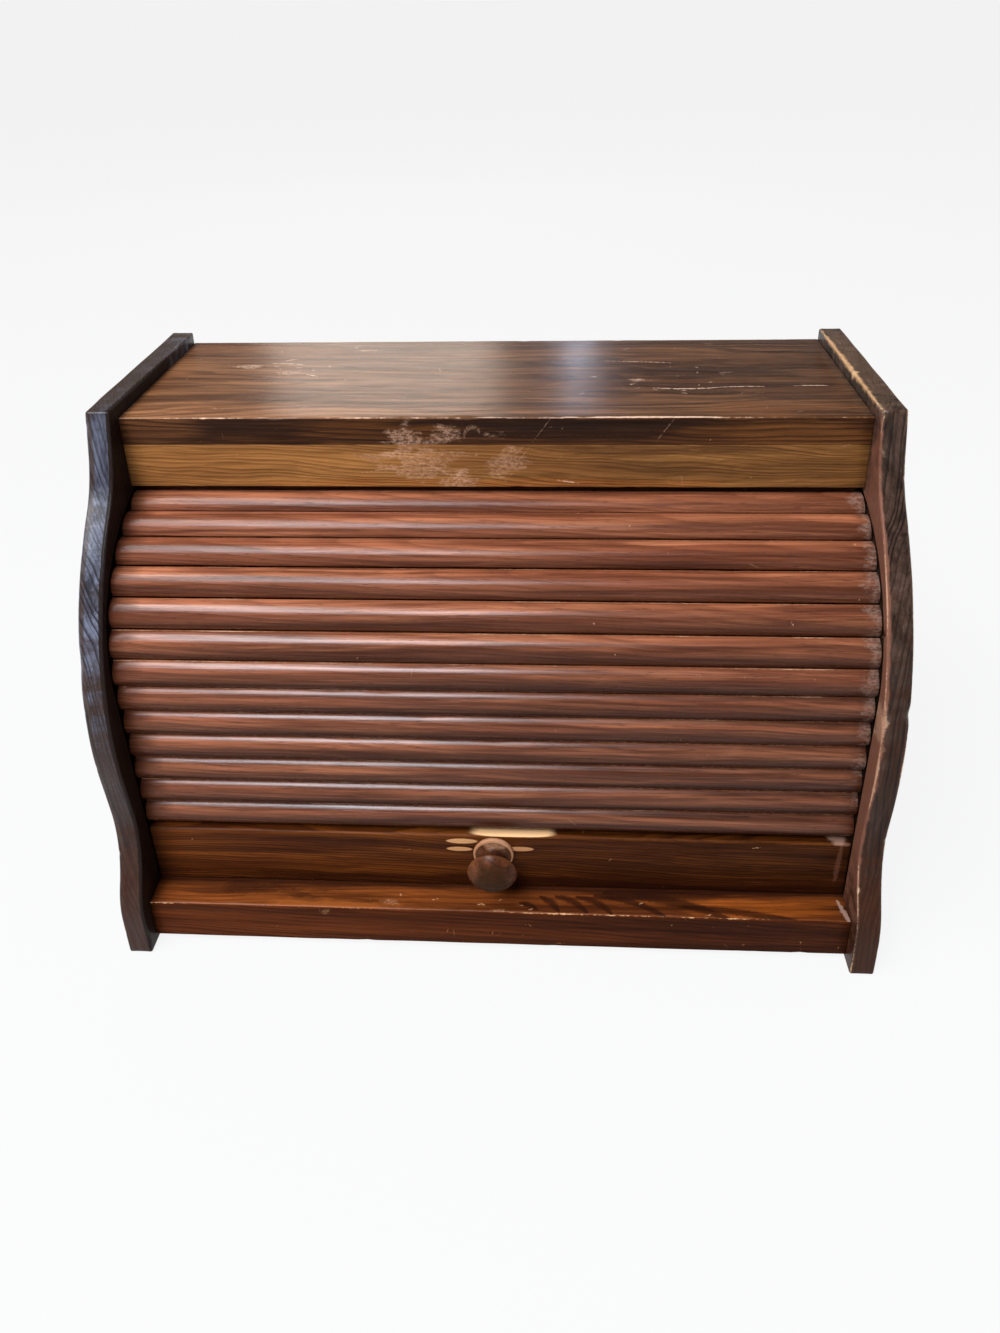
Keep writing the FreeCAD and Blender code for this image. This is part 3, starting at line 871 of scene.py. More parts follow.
class Skin:
    """The vertices and faces of a piece, with what its finish reads at each vertex."""

    def __init__(self) -> None:
        """Start empty."""
        self.points: list[Place] = []
        self.arris: list[float] = []
        self.painted_shade: list[float] = []
        self.faces: list[tuple[int, ...]] = []
        self.rings: list[list[int]] = []

    def begin(self) -> None:
        """Begin a ring of vertices."""
        self.rings.append([])

    def add(self, point: Sequence[float], arris: float = 0.0, painted_shade: float = 0.0) -> int:
        """Add a vertex, to the last ring where one was begun.

        Args:
            point: its place, in metres.
            arris: from 0 to 1, how much it lies on a rubbed edge.
            painted_shade: from 0 to 1, how much painted shade it holds.

        Returns:
            Its number.
        """
        self.points.append(tuple(point))
        self.arris.append(arris)
        self.painted_shade.append(painted_shade)
        if self.rings:
            self.rings[-1].append(len(self.points) - 1)
        return len(self.points) - 1

    def loft(self, closed: bool = True, capped: bool = True) -> None:
        """Join the rings, which have equally many vertices, with four-sided faces.

        Args:
            closed: whether each ring closes on itself.
            capped: whether the first and the last ring are filled.
        """
        count = len(self.rings[0])
        last = count if closed else count - 1
        for one, two in zip(self.rings, self.rings[1:]):
            for index in range(last):
                after = (index + 1) % count
                self.faces.append((one[index], one[after], two[after], two[index]))
        if capped:
            self.faces += [tuple(self.rings[0]), tuple(self.rings[-1])]

    def make(
        self, name: str, material: Material, plank: Place = ORIGIN, tone: float = 0.0
    ) -> Piece:
        """Turn the skin into an object.

        Args:
            name: the piece's name.
            material: its finish.
            plank: shift of the grain, so that no two boards are cut from the same place.
            tone: how much lighter or darker than its neighbours the piece is, as a share; on the slats it
                holds painted light and shade too.

        Returns:
            The object, at the origin, with outward faces.
        """
        mesh = bpy.data.meshes.new(name)
        mesh.from_pydata(self.points, [], self.faces)
        mesh.validate()
        store(mesh, {"arris": self.arris, "painted_shade": self.painted_shade, "tone": [tone] * len(self.points)}, plank)
        work = bmesh.new()
        work.from_mesh(mesh)
        bmesh.ops.recalc_face_normals(work, faces=work.faces)
        work.to_mesh(mesh)
        work.free()
        mesh.materials.append(material)
        piece = placed(name, mesh)
        smooth(piece)
        return piece


def placed(name: str, data: bpy.types.ID) -> Piece:
    """Put a mesh, a lamp or a camera into the scene."""
    made = bpy.data.objects.new(name, data)
    bpy.context.scene.collection.objects.link(made)
    return made


def store(mesh: Mesh, values: dict[str, Sequence[float]], plank: Sequence[float]) -> None:
    """Write what a finish reads onto a mesh's vertices.

    Args:
        mesh: the mesh.
        values: a number for each vertex, by label.
        plank: the shift of the grain, the same for all of them.
    """
    for label, numbers in values.items():
        mesh.attributes.new(label, "FLOAT", "POINT").data.foreach_set("value", numbers)
    shift = mesh.attributes.new("plank", "FLOAT_VECTOR", "POINT")
    shift.data.foreach_set("vector", list(plank) * len(mesh.vertices))


def smooth(piece: Piece) -> None:
    """Smooth a piece between its sharp edges, with the flat faces kept flat."""
    piece.data.shade_smooth()
    piece.data.set_sharp_from_angle(angle=SHARP_FROM)
    piece.modifiers.new(EVEN_SHADING, "WEIGHTED_NORMAL").keep_sharp = True


def stand_in(piece: Piece, node: str, body: str) -> Piece:
    """Let a piece stand in for a node of the part.

    Args:
        piece: the piece.
        node: the node that it replaces.
        body: the body that it rides on.

    Returns:
        The piece.
    """
    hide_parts(node)
    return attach(piece, body)


@dataclass(frozen=True)
class Corner:
    """A corner of a board's section: its place, how much it is rounded and how worn it is."""

    y: float
    z: float
    round: float = 0.6 * MM
    wear: float = 0.6


@dataclass(frozen=True)
class Rim:
    """A point of a section, its outward normal and how much it lies on an arris."""

    y: float
    z: float
    normal_y: float
    normal_z: float
    arris: float = 0.0


class Section:
    """A board's outline across its length, with rounded corners and support points beside them."""

    SUPPORT = 2.6 * MM
    SPACING = 11.0 * MM
    ARC_STEPS = 4
    LEAST_RUBBED = 0.55

    def __init__(self, corners: Sequence[Corner]) -> None:
        """Keep the corners, in order round the section."""
        self.corners = list(corners)

    def ring(self, gain: Callable[[int], float]) -> list[Rim]:
        """Points round the section.

        Args:
            gain: for a corner's number, how many times its own radius it is rounded.

        Returns:
            The points, as many for every gain.
        """
        count = len(self.corners)
        places = [Vector((corner.y, corner.z)) for corner in self.corners]
        arcs = []
        for index, corner in enumerate(self.corners):
            here = places[index]
            back = (places[index - 1] - here).normalized()
            ahead = (places[(index + 1) % count] - here).normalized()
            half = back.angle(ahead) / 2
            radius = min(corner.round * gain(index), self.SUPPORT * 0.8)
            centre = here + (back + ahead).normalized() * (radius / sin(half))
            start = (here + back * (radius / tan(half)) - centre).normalized()
            end = (here + ahead * (radius / tan(half)) - centre).normalized()
            arcs.append((centre, radius, start, end, corner.wear))
        rims = []
        for index, (centre, radius, start, end, wear) in enumerate(arcs):
            for step in range(self.ARC_STEPS + 1):
                share = step / self.ARC_STEPS
                normal = start.slerp(end, share)
                place = centre + normal * radius
                arris = wear * (self.LEAST_RUBBED + (1 - self.LEAST_RUBBED) * sin(HALF_TURN * share))
                rims.append(Rim(place.x, place.y, normal.x, normal.y, arris))
            following = arcs[(index + 1) % count]
            rims += self.run(centre + end * radius, following[0] + following[2] * following[1], end)
        return rims

    def run(self, start: Vector, stop: Vector, normal: Vector) -> list[Rim]:
        """Points between two corners: a support near each, and evenly spaced ones between them.

        Args:
            start: where the first corner's arc ends.
            stop: where the next one's starts.
            normal: the way out from the side.

        Returns:
            The points, none where the corners are close.
        """
        length = (stop - start).length
        middle = max(int(round(length / self.SPACING)) - 1, 0)
        shares = []
        if length > 3 * self.SUPPORT:
            near = self.SUPPORT / length
            shares = [near] + [(n + 1) / (middle + 1) for n in range(middle)] + [1 - near]
        return [Rim(*start.lerp(stop, share), normal.x, normal.y) for share in shares]


@dataclass(frozen=True)
class Dint:
    """A knock on an arris: where along the board, on which corner, how wide and how deep."""

    x: float
    corner: int
    width: float
    depth: float


@dataclass
class Board:
    """A board that runs along X, drawn as its section at many stations.

    The painted shade at an end fades out over left_reach at the left and over end_reach at the right.
    """

    name: str
    corners: Sequence[Corner]
    x_from: float
    x_to: float
    seed: float = 0.0
    end_round: float = 0.5 * MM
    pitch: float = 5.0 * MM
    unevenness: float = 0.35
    dints: tuple[Dint, ...] = ()
    end_shade: float = 0.5
    end_reach: float = 5.0 * MM
    left_reach: float = 5.0 * MM
    end_steps: int = 3
    hollow: float = 0.05 * MM

    def stations(self) -> list[Flat]:
        """Places along X with the inset of the section there, which rounds the two ends.

        Returns:
            The stations from the left end to the right.
        """
        size = self.end_round
        turns = [QUARTER_TURN * step / self.end_steps for step in range(self.end_steps + 1)]
        ends = [(size * (1 - cos(turn)), size * (1 - sin(turn))) for turn in turns]
        inner = max(int((self.x_to - self.x_from) / self.pitch), 2)
        first, last = self.x_from + 2 * self.end_round, self.x_to - 2 * self.end_round
        middle = [(first + (last - first) * n / inner, 0.0) for n in range(inner + 1)]
        left = [(self.x_from + depth, inset) for depth, inset in ends]
        right = [(self.x_to - depth, inset) for depth, inset in reversed(ends)]
        return left + middle + right

    def gain(self, x: float, corner: int) -> float:
        """How much more than its own radius an arris is worn at a place.

        Args:
            x: the place along the board.
            corner: the arris's number.

        Returns:
            The factor on its radius.
        """
        slow = ripple(x * 31.0, self.seed + corner * 7.1)
        sharp = ripple(x * 170.0, self.seed + corner * 3.3, 5.0)
        worn = 1.0 + self.unevenness * slow + 2.2 * max(sharp - 0.32, 0.0)
        for dint in self.dints:
            if dint.corner == corner:
                worn += dint.depth * exp(-(((x - dint.x) / dint.width) ** 2))
        return max(worn, 0.4)

    def skin(self) -> Skin:
        """The board's vertices and faces.

        Returns:
            The skin, with its arrises, and painted shade at its ends where it meets the side panels.
        """
        section = Section(self.corners)
        made = Skin()
        for x, inset in self.stations():
            made.begin()
            rims = section.ring(lambda corner: self.gain(x, corner))
            end = min(x - self.x_from, self.x_to - x)
            # Painted shadow at the ends, where the side panels shade the board.
            painted_shade = self.end_shade * max(1 - end / (self.left_reach if x < 0 else self.end_reach), 0.0) ** 1.5
            for rim in rims:
                wave = 1 + ripple(x * 22.0, rim.y * 60.0 + self.seed, rim.z * 60.0)
                into = self.hollow * wave + inset
                point = (x, rim.y - rim.normal_y * into, rim.z - rim.normal_z * into)
                made.add(point, rim.arris, painted_shade)
        made.loft()
        return made

    def build(self, material: Material, plank: Place) -> Piece:
        """The board as a piece."""
        return self.skin().make(self.name, material, plank)


@dataclass(frozen=True)
class Track:
    """The way that the tambour runs in the side panels: a front run, an arc and a run down the back."""

    lean: float = radians(1.5)
    radius: float = 82.3056 * MM
    centre_y: float = 5.3895 * MM
    centre_z: float = 171.9944 * MM
    sill_top: float = 30.5 * MM

    @property
    def arc_length(self) -> float:
        """Length of the arc."""
        return (HALF_TURN + self.lean) * self.radius

    @property
    def foot_z(self) -> float:
        """Height at which the front run meets the arc."""
        return self.centre_z - self.radius * sin(self.lean)

    def spot(self, distance: float, out: float = 0.0, up: float = 0.0) -> Flat:
        """A point beside the track.

        Args:
            distance: down the front run from the arc's start; below zero on the arc and beyond.
            out: away from the slats' backs.
            up: along the track.

        Returns:
            Its y and z.
        """
        facing = min(-self.lean - min(distance, 0.0) / self.radius, HALF_TURN)
        front, back = max(distance, 0.0), max(-distance - self.arc_length, 0.0)
        y = self.centre_y - self.radius * cos(facing) + front * sin(self.lean)
        z = self.centre_z + self.radius * sin(facing) - front * cos(self.lean) - back
        ahead, aside = sin(facing), cos(facing)
        return (y - out * aside + up * ahead, z + out * ahead + up * aside)

    def facing(self, distance: float) -> Flat:
        """The way out from the track at a distance, as y and z."""
        here, there = self.spot(distance), self.spot(distance, 1.0)
        return there[0] - here[0], there[1] - here[1]


TRACK = Track()


@dataclass
class SidePanel:
    """One side panel: a board sawn to an S at the front, with its groove, housing and rebate."""

    side: int
    name: str
    material: Material
    # The finish of the faces that the cuts make: painted shade.
    shaded_cut: Material
    inner: float = HALF_INSIDE
    thickness: float = 13.2 * MM
    height: float = 310.0 * MM
    front_top: float = -26.6048 * MM
    back: float = 106.6952 * MM
    corner: float = 2.1 * MM
    arris: float = 1.15 * MM
    spacing: float = 2.6 * MM
    depth: float = 5.0 * MM
    back_face: float = 100.6952 * MM
    floor_front: float = -62.6 * MM
    floor_levels: Flat = (17.8 * MM, 30.5 * MM)
    back_top: float = 286.8 * MM
    toe: float = -106.695 * MM
    hollow: float = 0.10 * MM
    plain_margin: float = 5.0 * MM
    straight_spacing: float = 6.0 * MM
    groove_behind: float = 1.05 * MM
    groove_ahead: float = 6.5 * MM
    round_steps: int = 5
    # The front edge from the top corner down: each run's radius in mm (0 where it is straight),
    # the lean in degrees that it ends at, and its length in mm where it is straight.
    runs: tuple[Place, ...] = (
        (0.0, 15.0, 25.0),
        (60.0, 43.0, 0.0),
        (180.038, -6.0, 0.0),
        (0.0, -6.0, 25.0),
        (80.0, 28.0, 0.0),
        (50.0, 0.0, 0.0),
        (0.0, 0.0, 24.6),
    )
    # Each knock's y, z and width, and the face whose arris it is on: 0 the inner, 1 the outer.
    knocks: tuple[Knock, ...] = ()

    def front_edge(self) -> list[tuple[Vector, Vector]]:
        """Points down the front edge.

        Returns:
            The points with their outward normals, from the top corner to the foot.
        """
        here = Vector((self.front_top, self.height))
        lean = radians(self.runs[0][1])
        found = []
        for radius, end_lean, length in self.runs:
            end, radius, length = radians(end_lean), radius * MM, length * MM
            if radius:
                length = radius * abs(end - lean)
            steps = max(int(length / self.spacing), 2)
            for step in range(steps):
                angle = lean + (end - lean) * (step + 0.5) / steps if radius else lean
                start = lean + (end - lean) * step / steps if radius else lean
                found.append((here.copy(), Vector((-cos(start), sin(start)))))
                here += Vector((-sin(angle), -cos(angle))) * (length / steps)
            lean = end
        found.append((Vector((here.x, 0.0)), Vector((-1.0, 0.0))))
        return found

    def outline(self) -> list[tuple[Vector, Vector, float]]:
        """The whole outline, with its four corners rounded.

        Returns:
            Points, unit vectors that lead in, and 1 on the sides or 0 on the rounded corners.
        """
        front = self.front_edge()
        foot_back, top_back = Vector((self.back, 0.0)), Vector((self.back, self.height))
        sides = [
            front,
            self.straight(front[-1][0], foot_back, Vector((0.0, -1.0))),
            self.straight(foot_back, top_back, Vector((1.0, 0.0))),
            self.straight(top_back, front[0][0], Vector((0.0, 1.0))),
        ]
        whole = []
        for index, side in enumerate(sides):
            whole += [(place, -normal, 1.0) for place, normal in side[2:-2]]
            one, two = side[-1][1], sides[(index + 1) % 4][0][1]
            place = side[-1][0]
            half = one.angle(two) / 2
            bisector = (one + two).normalized()
            centre = place - bisector * (self.corner / cos(half))
            for step in range(4):
                normal = one.slerp(two, step / 3)
                whole.append((centre + normal * self.corner, -normal, 0.0))
        return whole

    def straight(self, start: Vector, stop: Vector, normal: Vector) -> list[tuple[Vector, Vector]]:
        """Points along a straight side of the panel."""
        steps = max(int((stop - start).length / self.straight_spacing), 3)
        return [(start.lerp(stop, step / steps), normal) for step in range(steps + 1)]

    def wear(self, place: Vector, face: int) -> float:
        """How far the arris is worn at a place.

        Args:
            place: y and z on the outline.
            face: 0 for the inner face, 1 for the outer.

        Returns:
            The factor on its plain radius.
        """
        seed = 40.0 * face + 17.0 * self.side
        worn = 1.0 + 0.45 * ripple(place.x * 40.0, place.y * 40.0, seed)
        worn += 2.0 * max(ripple(place.x * 190.0, place.y * 190.0, seed + 9.0) - 0.34, 0.0)
        for y, z, width, knocked in self.knocks:
            if knocked == face:
                away = (place - Vector((y, z))).length / width
                ragged = 1.0 + 0.6 * ripple(place.x * 900.0, place.y * 900.0, seed)
                worn += 2.6 * exp(-(away**2)) * ragged
        return min(max(worn, 0.45), 3.6)

    def skin(self) -> Skin:
        """The panel before its groove is cut.

        Returns:
            The skin, from the inner face round the outline to the outer face.
        """
        outline = self.outline()
        made = Skin()
        turns = [QUARTER_TURN * step / self.round_steps for step in range(self.round_steps + 1)]
        arc = [(sin(turn) - 1, 1 - cos(turn), 0.6 + 0.4 * sin(2 * turn)) for turn in turns]
        flat = (self.plain_margin, 0.0, 0.0)
        profile = [(*row, 0) for row in (flat, *arc)]
        profile += [(0.0, share, 0.0, 2) for share in (0.3, 0.5, 0.7)]
        profile += [(*row, 1) for row in (*reversed(arc), flat)]
        for inset, share, arris, part in profile:
            made.begin()
            for place, inward, plain in outline:
                if part == 2:
                    depth = share * self.thickness
                    wave = ripple(place.x * 50.0, place.y * 50.0, depth * 90.0 + self.side)
                    into = self.hollow * (1 + wave)
                else:
                    worn = self.arris * self.wear(place, part)
                    depth = share * worn
                    into = -inset * worn if inset <= 0 else inset
                    depth = depth if part == 0 else self.thickness - depth
                point = place + inward * into
                if not plain and into > self.corner:
                    point = place + inward * self.corner + self.deeper(place, inward) * (into - self.corner)
                weight = arris * (0.4 if point.y < 2.0 * MM else 0.8)
                if place.x > self.back - 3 * MM:
                    weight *= 0.6
                x = self.side * (self.inner + depth)
                made.add((x, max(point.x, self.toe), point.y), weight)
        made.loft()
        return made

    def deeper(self, place: Vector, inward: Vector) -> Vector:
        """The way in from a corner's centre, long enough to keep the inset even on both sides.

        Args:
            place: a point on the rounded corner.
            inward: the way in from it.

        Returns:
            One step along y and one along z.
        """
        centre = place + inward * self.corner
        across = 1.0 if centre.x < 0.0 else -1.0
        down = 1.0 if centre.y < self.height / 2 else -1.0
        return Vector((across, down))

    def cutters(self) -> list[Piece]:
        """What is cut out of the panel.

        Returns:
            Solids for the groove, the floor's housing and the back's rebate.
        """
        front_end = (TRACK.foot_z - TRACK.sill_top) / cos(TRACK.lean)
        back_end = -TRACK.arc_length - (TRACK.centre_z - TRACK.sill_top)
        stops = [front_end] + [-TRACK.arc_length * step / 64 for step in range(65)] + [back_end]
        band = [TRACK.spot(stop, self.groove_ahead) for stop in stops]
        band += [TRACK.spot(stop, -self.groove_behind) for stop in reversed(stops)]
        (low, high), past = self.floor_levels, self.back + MM
        housing = [(self.floor_front, low), (past, low), (past, high), (self.floor_front, high)]
        rebate = [(self.back_face, low), (past, low), (past, self.back_top), (self.back_face, self.back_top)]
        return [self.prism(outline) for outline in (band, housing, rebate)]

    def prism(self, outline: Sequence[Flat]) -> Piece:
        """A solid to cut with.

        Args:
            outline: its y and z.

        Returns:
            The solid, which reaches from inside the box into the panel.
        """
        made = Skin()
        for x in (self.inner - MM, self.inner + self.depth):
            made.begin()
            for y, z in outline:
                made.add((self.side * x, y, z))
        made.loft()
        return made.make(self.name + "_cutter", self.shaded_cut)

    def build(self) -> Piece:
        """Make the panel and cut it.

        Returns:
            The panel, with the dark groove finish, painted shade, where it was cut.
        """
        piece = self.skin().make(self.name, self.material, plank=(0.31 * self.side, 0.04 * self.side, 0.11))
        fresh = carve(piece, self.cutters())
        piece.data.materials.append(self.shaded_cut)
        for polygon in piece.data.polygons:
            on_face = abs(polygon.normal.x) > 0.5 and abs(polygon.center.x) - self.inner < MM
            if fresh.issuperset(polygon.vertices) and not on_face:
                polygon.material_index = 1
        return piece


def carve(piece: Piece, cutters: Iterable[Piece]) -> set[int]:
    """Cut solids out of a piece, remove them, and give the piece back what its finish reads.

    Args:
        piece: the piece, with its attributes on its vertices.
        cutters: closed solids; they are deleted.

    Returns:
        The numbers of the vertices that the cuts made.
    """
    labels = ("arris", "painted_shade", "tone")
    old = piece.data
    tree = KDTree(len(old.vertices))
    for vertex in old.vertices:
        tree.insert(vertex.co, vertex.index)
    tree.balance()
    kept = {label: [item.value for item in old.attributes[label].data] for label in labels}
    plank = tuple(old.attributes["plank"].data[0].vector)
    tone = kept["tone"][0]
    piece.modifiers.clear()
    cutters = list(cutters)
    for cutter in cutters:
        cut = piece.modifiers.new("Cut", "BOOLEAN")
        cut.operation, cut.solver, cut.object = "DIFFERENCE", "EXACT", cutter
    bpy.context.view_layer.update()
    whole = piece.evaluated_get(bpy.context.evaluated_depsgraph_get())
    mesh = bpy.data.meshes.new_from_object(whole)
    piece.modifiers.clear()
    for cutter in cutters:
        bpy.data.objects.remove(cutter)
    for label in labels + ("plank",):
        if label in mesh.attributes:
            mesh.attributes.remove(mesh.attributes[label])
    nearest = [tree.find(vertex.co)[1:] for vertex in mesh.vertices]
    fresh = {number for number, (_, away) in enumerate(nearest) if away > SAME_PLACE}
    values = {label: [numbers[near] for near, _ in nearest] for label, numbers in kept.items()}
    for number in fresh:
        values["arris"][number], values["painted_shade"][number], values["tone"][number] = 0.0, 0.0, tone
    store(mesh, values, plank)
    while len(mesh.materials) > 1:
        mesh.materials.pop()
    for polygon in mesh.polygons:
        polygon.material_index = 0
    piece.data = mesh
    smooth(piece)
    return fresh


@dataclass
class Tambour:
    """The fourteen half-round slats and the canvas behind each."""

    slat_finish: Material
    canvas_finish: Material
    count: int = 14
    pitch: float = 16.5 * MM
    gap: float = 0.6 * MM
    thickness: float = 6.0 * MM
    shoulder: float = 1.3 * MM
    half_length: float = 199.6 * MM
    canvas_margin: float = 15.0 * MM
    canvas_height: float = 14.9 * MM
    # Painted shade on each slat's lower half, from shade_from above its middle to full shade shade_run lower;
    # painted light makes the slats from lit_from up paler over lit_run, and painted shade darkens those below
    # lit_from.
    shade_from: float = 4.2 * MM
    shade_run: float = 8.5 * MM
    lit_from: float = 6.0
    lit_run: float = 6.0
    rail_top_place: float = 97.4875 * MM
    ease: float = 0.3 * MM
    arc_steps: int = 20
    stations: int = 56
    # Painted shadow at the slats' ends, where the side panels shade them, fading out over these lengths.
    left_end_shadow: float = 17.0 * MM
    right_end_shadow: float = 5.0 * MM
    # How deep from its end a slat's section is inset, and by how much, in mm.
    ends: tuple[Flat, ...] = ((0.0, 0.35), (0.12, 0.12), (0.35, 0.0))

    def place(self, number: int) -> float:
        """Distance along the track of a slat's middle, counted up from the rail."""
        return self.rail_top_place - self.pitch * (number - 0.5)

    def profile(self) -> list[Row]:
        """A slat's section.

        Returns:
            Out, up, the outward normal's two parts and the arris's share of each point.
        """
        half = (self.pitch - self.gap) / 2
        rise = self.thickness - self.shoulder
        radius = (half**2 + rise**2) / (2 * rise)
        sweep = asin(half / radius)
        flat_to = self.shoulder - 0.35 * MM

        def corner(turn: float, side: int, arris: float) -> Row:
            """A point of the rounded corner at the back, above (1) or below (-1)."""
            aside, ahead = sin(turn), cos(turn)
            up = side * (half - self.ease * (1 - ahead))
            return self.ease * (1 - aside), up, -aside, side * ahead, arris

        points = [(0.0, share * (half - self.ease), -1.0, 0.0, 0.0) for share in (-1.0, -0.4, 0.4, 1.0)]
        points += [corner(0.8, 1, 0.3), corner(0.0, 1, 0.3), (flat_to, half, 0.0, 1.0, 0.4)]
        for step in range(self.arc_steps + 1):
            turn = sweep * (1 - 2 * step / self.arc_steps)
            out = self.thickness - radius + radius * cos(turn)
            up = radius * sin(turn)
            edge = max(1.0 - (half - abs(up)) / (1.1 * MM), 0.0)
            arris = edge * (1.0 if up > 0 else 0.35)
            points.append((out, up, cos(turn), sin(turn), arris))
        points += [(flat_to, -half, 0.0, -1.0, 0.2), corner(0.0, -1, 0.2), corner(0.8, -1, 0.2)]
        return points

    def slat(self, number: int) -> Piece:
        """One slat, a little uneven along its length, with softened ends.

        Args:
            number: counted up from the rail.

        Returns:
            The slat, painted paler, and with weaker painted shade, the higher it is.
        """
        place, made, profile = self.place(number), Skin(), self.profile()
        first, run = -self.half_length + 3 * MM, 2 * self.half_length - 6 * MM
        marks = [(-self.half_length + depth * MM, inset * MM) for depth, inset in self.ends]
        marks += [(first + run * step / self.stations, 0.0) for step in range(self.stations + 1)]
        marks += [(self.half_length - depth * MM, inset * MM) for depth, inset in reversed(self.ends)]
        lift = ripple(number * 3.7, 1.3)
        # Painted light: the higher slats are painted paler, with weaker painted shade.
        painted_light_share = min(max((number - self.lit_from) / self.lit_run, 0.0), 1.0)
        for x, inset in marks:
            # Painted shadow at the ends, and painted shade on the lower half of the slat.
            dark = self.left_end_shadow if x < 0 else self.right_end_shadow
            end = max(1 - (self.half_length - abs(x)) / dark, 0.0) ** 0.6
            made.begin()
            for out, up, normal_out, normal_up, arris in profile:
                wave = 1 + ripple(x * 9.0, number * 5.3, up * 90.0)
                sway = 1 + ripple(x * 26.0, number * 2.9, 7.0 + up * 60.0)
                tilt = max(lift * up / (8.0 * MM), 0.0)
                into = inset + (0.10 * wave + 0.06 * sway + 0.10 * tilt) * MM * max(normal_out, 0.0)
                knock = max(ripple(x * 130.0, number * 9.1, up * 20.0) - 0.42, 0.0) * 1.6 * MM * arris
                ahead, above = normal_out * (into + knock), normal_up * (into * 0.3 + knock)
                y, z = TRACK.spot(place, out - ahead, up - above)
                low = min(max((self.shade_from - up) / self.shade_run, 0.0), 1.0)
                low += 0.18 * ripple(x * 14.0, number * 4.3, up * 150.0) * min(2 * low, 1.0)
                shade = (1 - 0.5 * painted_light_share) * max(low, 0.0) ** 0.68 if normal_out > -0.5 else 0.0
                made.add((x, y, z), arris, min(max(shade, 0.95 * end), 1.0))
        made.loft()
        plank = (0.17 * number, 0.031 * sin(2.4 * number), 0.043 * number)
        # Tone differs from slat to slat at random; painted light makes the higher slats paler, and painted
        # shade makes the lower ones darker.
        painted_low_shade = max((self.lit_from - number) / self.lit_run, 0.0)
        tone = 0.14 * ripple(number * 1.7, 4.2) + 0.45 * painted_light_share - 0.18 * painted_low_shade
        piece = made.make(f"slat_wood_{number:02d}", self.slat_finish, plank, tone)
        return stand_in(piece, f"slat_{number:02d}", f"tambour_{number:02d}")

    def strip(self, name: str, place: float, height: float, depth: float) -> Piece:
        """A strip of canvas, slightly puckered between the threads of glue.

        Args:
            name: the piece's name.
            place: distance of its middle along the track.
            height: its height along the track.
            depth: how far its front lies behind the slats' backs.

        Returns:
            The strip, thickened to a cloth.
        """
        reach = self.half_length - self.canvas_margin
        made = Skin()
        columns, rows = 92, 8
        for column in range(columns + 1):
            x = -reach + 2 * reach * column / columns
            made.begin()
            for row in range(rows + 1):
                up = height * (row / rows - 0.5)
                fray = 0.22 * MM * ripple(x * 400.0, place * 90.0 + row) if row in (0, rows) else 0.0
                pucker = 0.09 * MM * (1 + ripple(x * 160.0, up * 260.0, place * 30.0))
                y, z = TRACK.spot(place, -depth - 0.22 * MM - pucker, up - abs(fray) * (1 if row else -1))
                made.add((x, y, z))
        made.loft(closed=False, capped=False)
        piece = made.make(name, self.canvas_finish)
        thick = piece.modifiers.new("Cloth", "SOLIDIFY")
        thick.thickness, thick.offset = 0.3 * MM, 0.0
        piece.modifiers.move(piece.modifiers.find("Cloth"), 0)
        return piece

    def glue(
        self, strip: Piece, node: str, body: str, height: float, wood: Piece
    ) -> Piece:
        """Let a strip stand in for its node.

        Args:
            strip: the strip.
            node: the node that it replaces.
            body: the body that it rides on.
            height: its height along the track; not used.
            wood: the slat or the rail; not used.

        Returns:
            The strip.
        """
        stand_in(strip, node, body)
        return strip

    def canvas(self, number: int, slat: Piece) -> Piece:
        """The strip behind one slat."""
        strip = self.strip(f"canvas_strip_{number:02d}", self.place(number), self.canvas_height, CANVAS_GAP)
        return self.glue(strip, f"canvas_{number:02d}", f"tambour_{number:02d}", self.canvas_height, slat)

    def build(self) -> list[Piece]:
        """All the slats and their strips.

        Returns:
            The slats and their strips of canvas, from the lowest up.
        """
        made = []
        for number in range(1, self.count + 1):
            slat = self.slat(number)
            made += [slat, self.canvas(number, slat)]
        return made


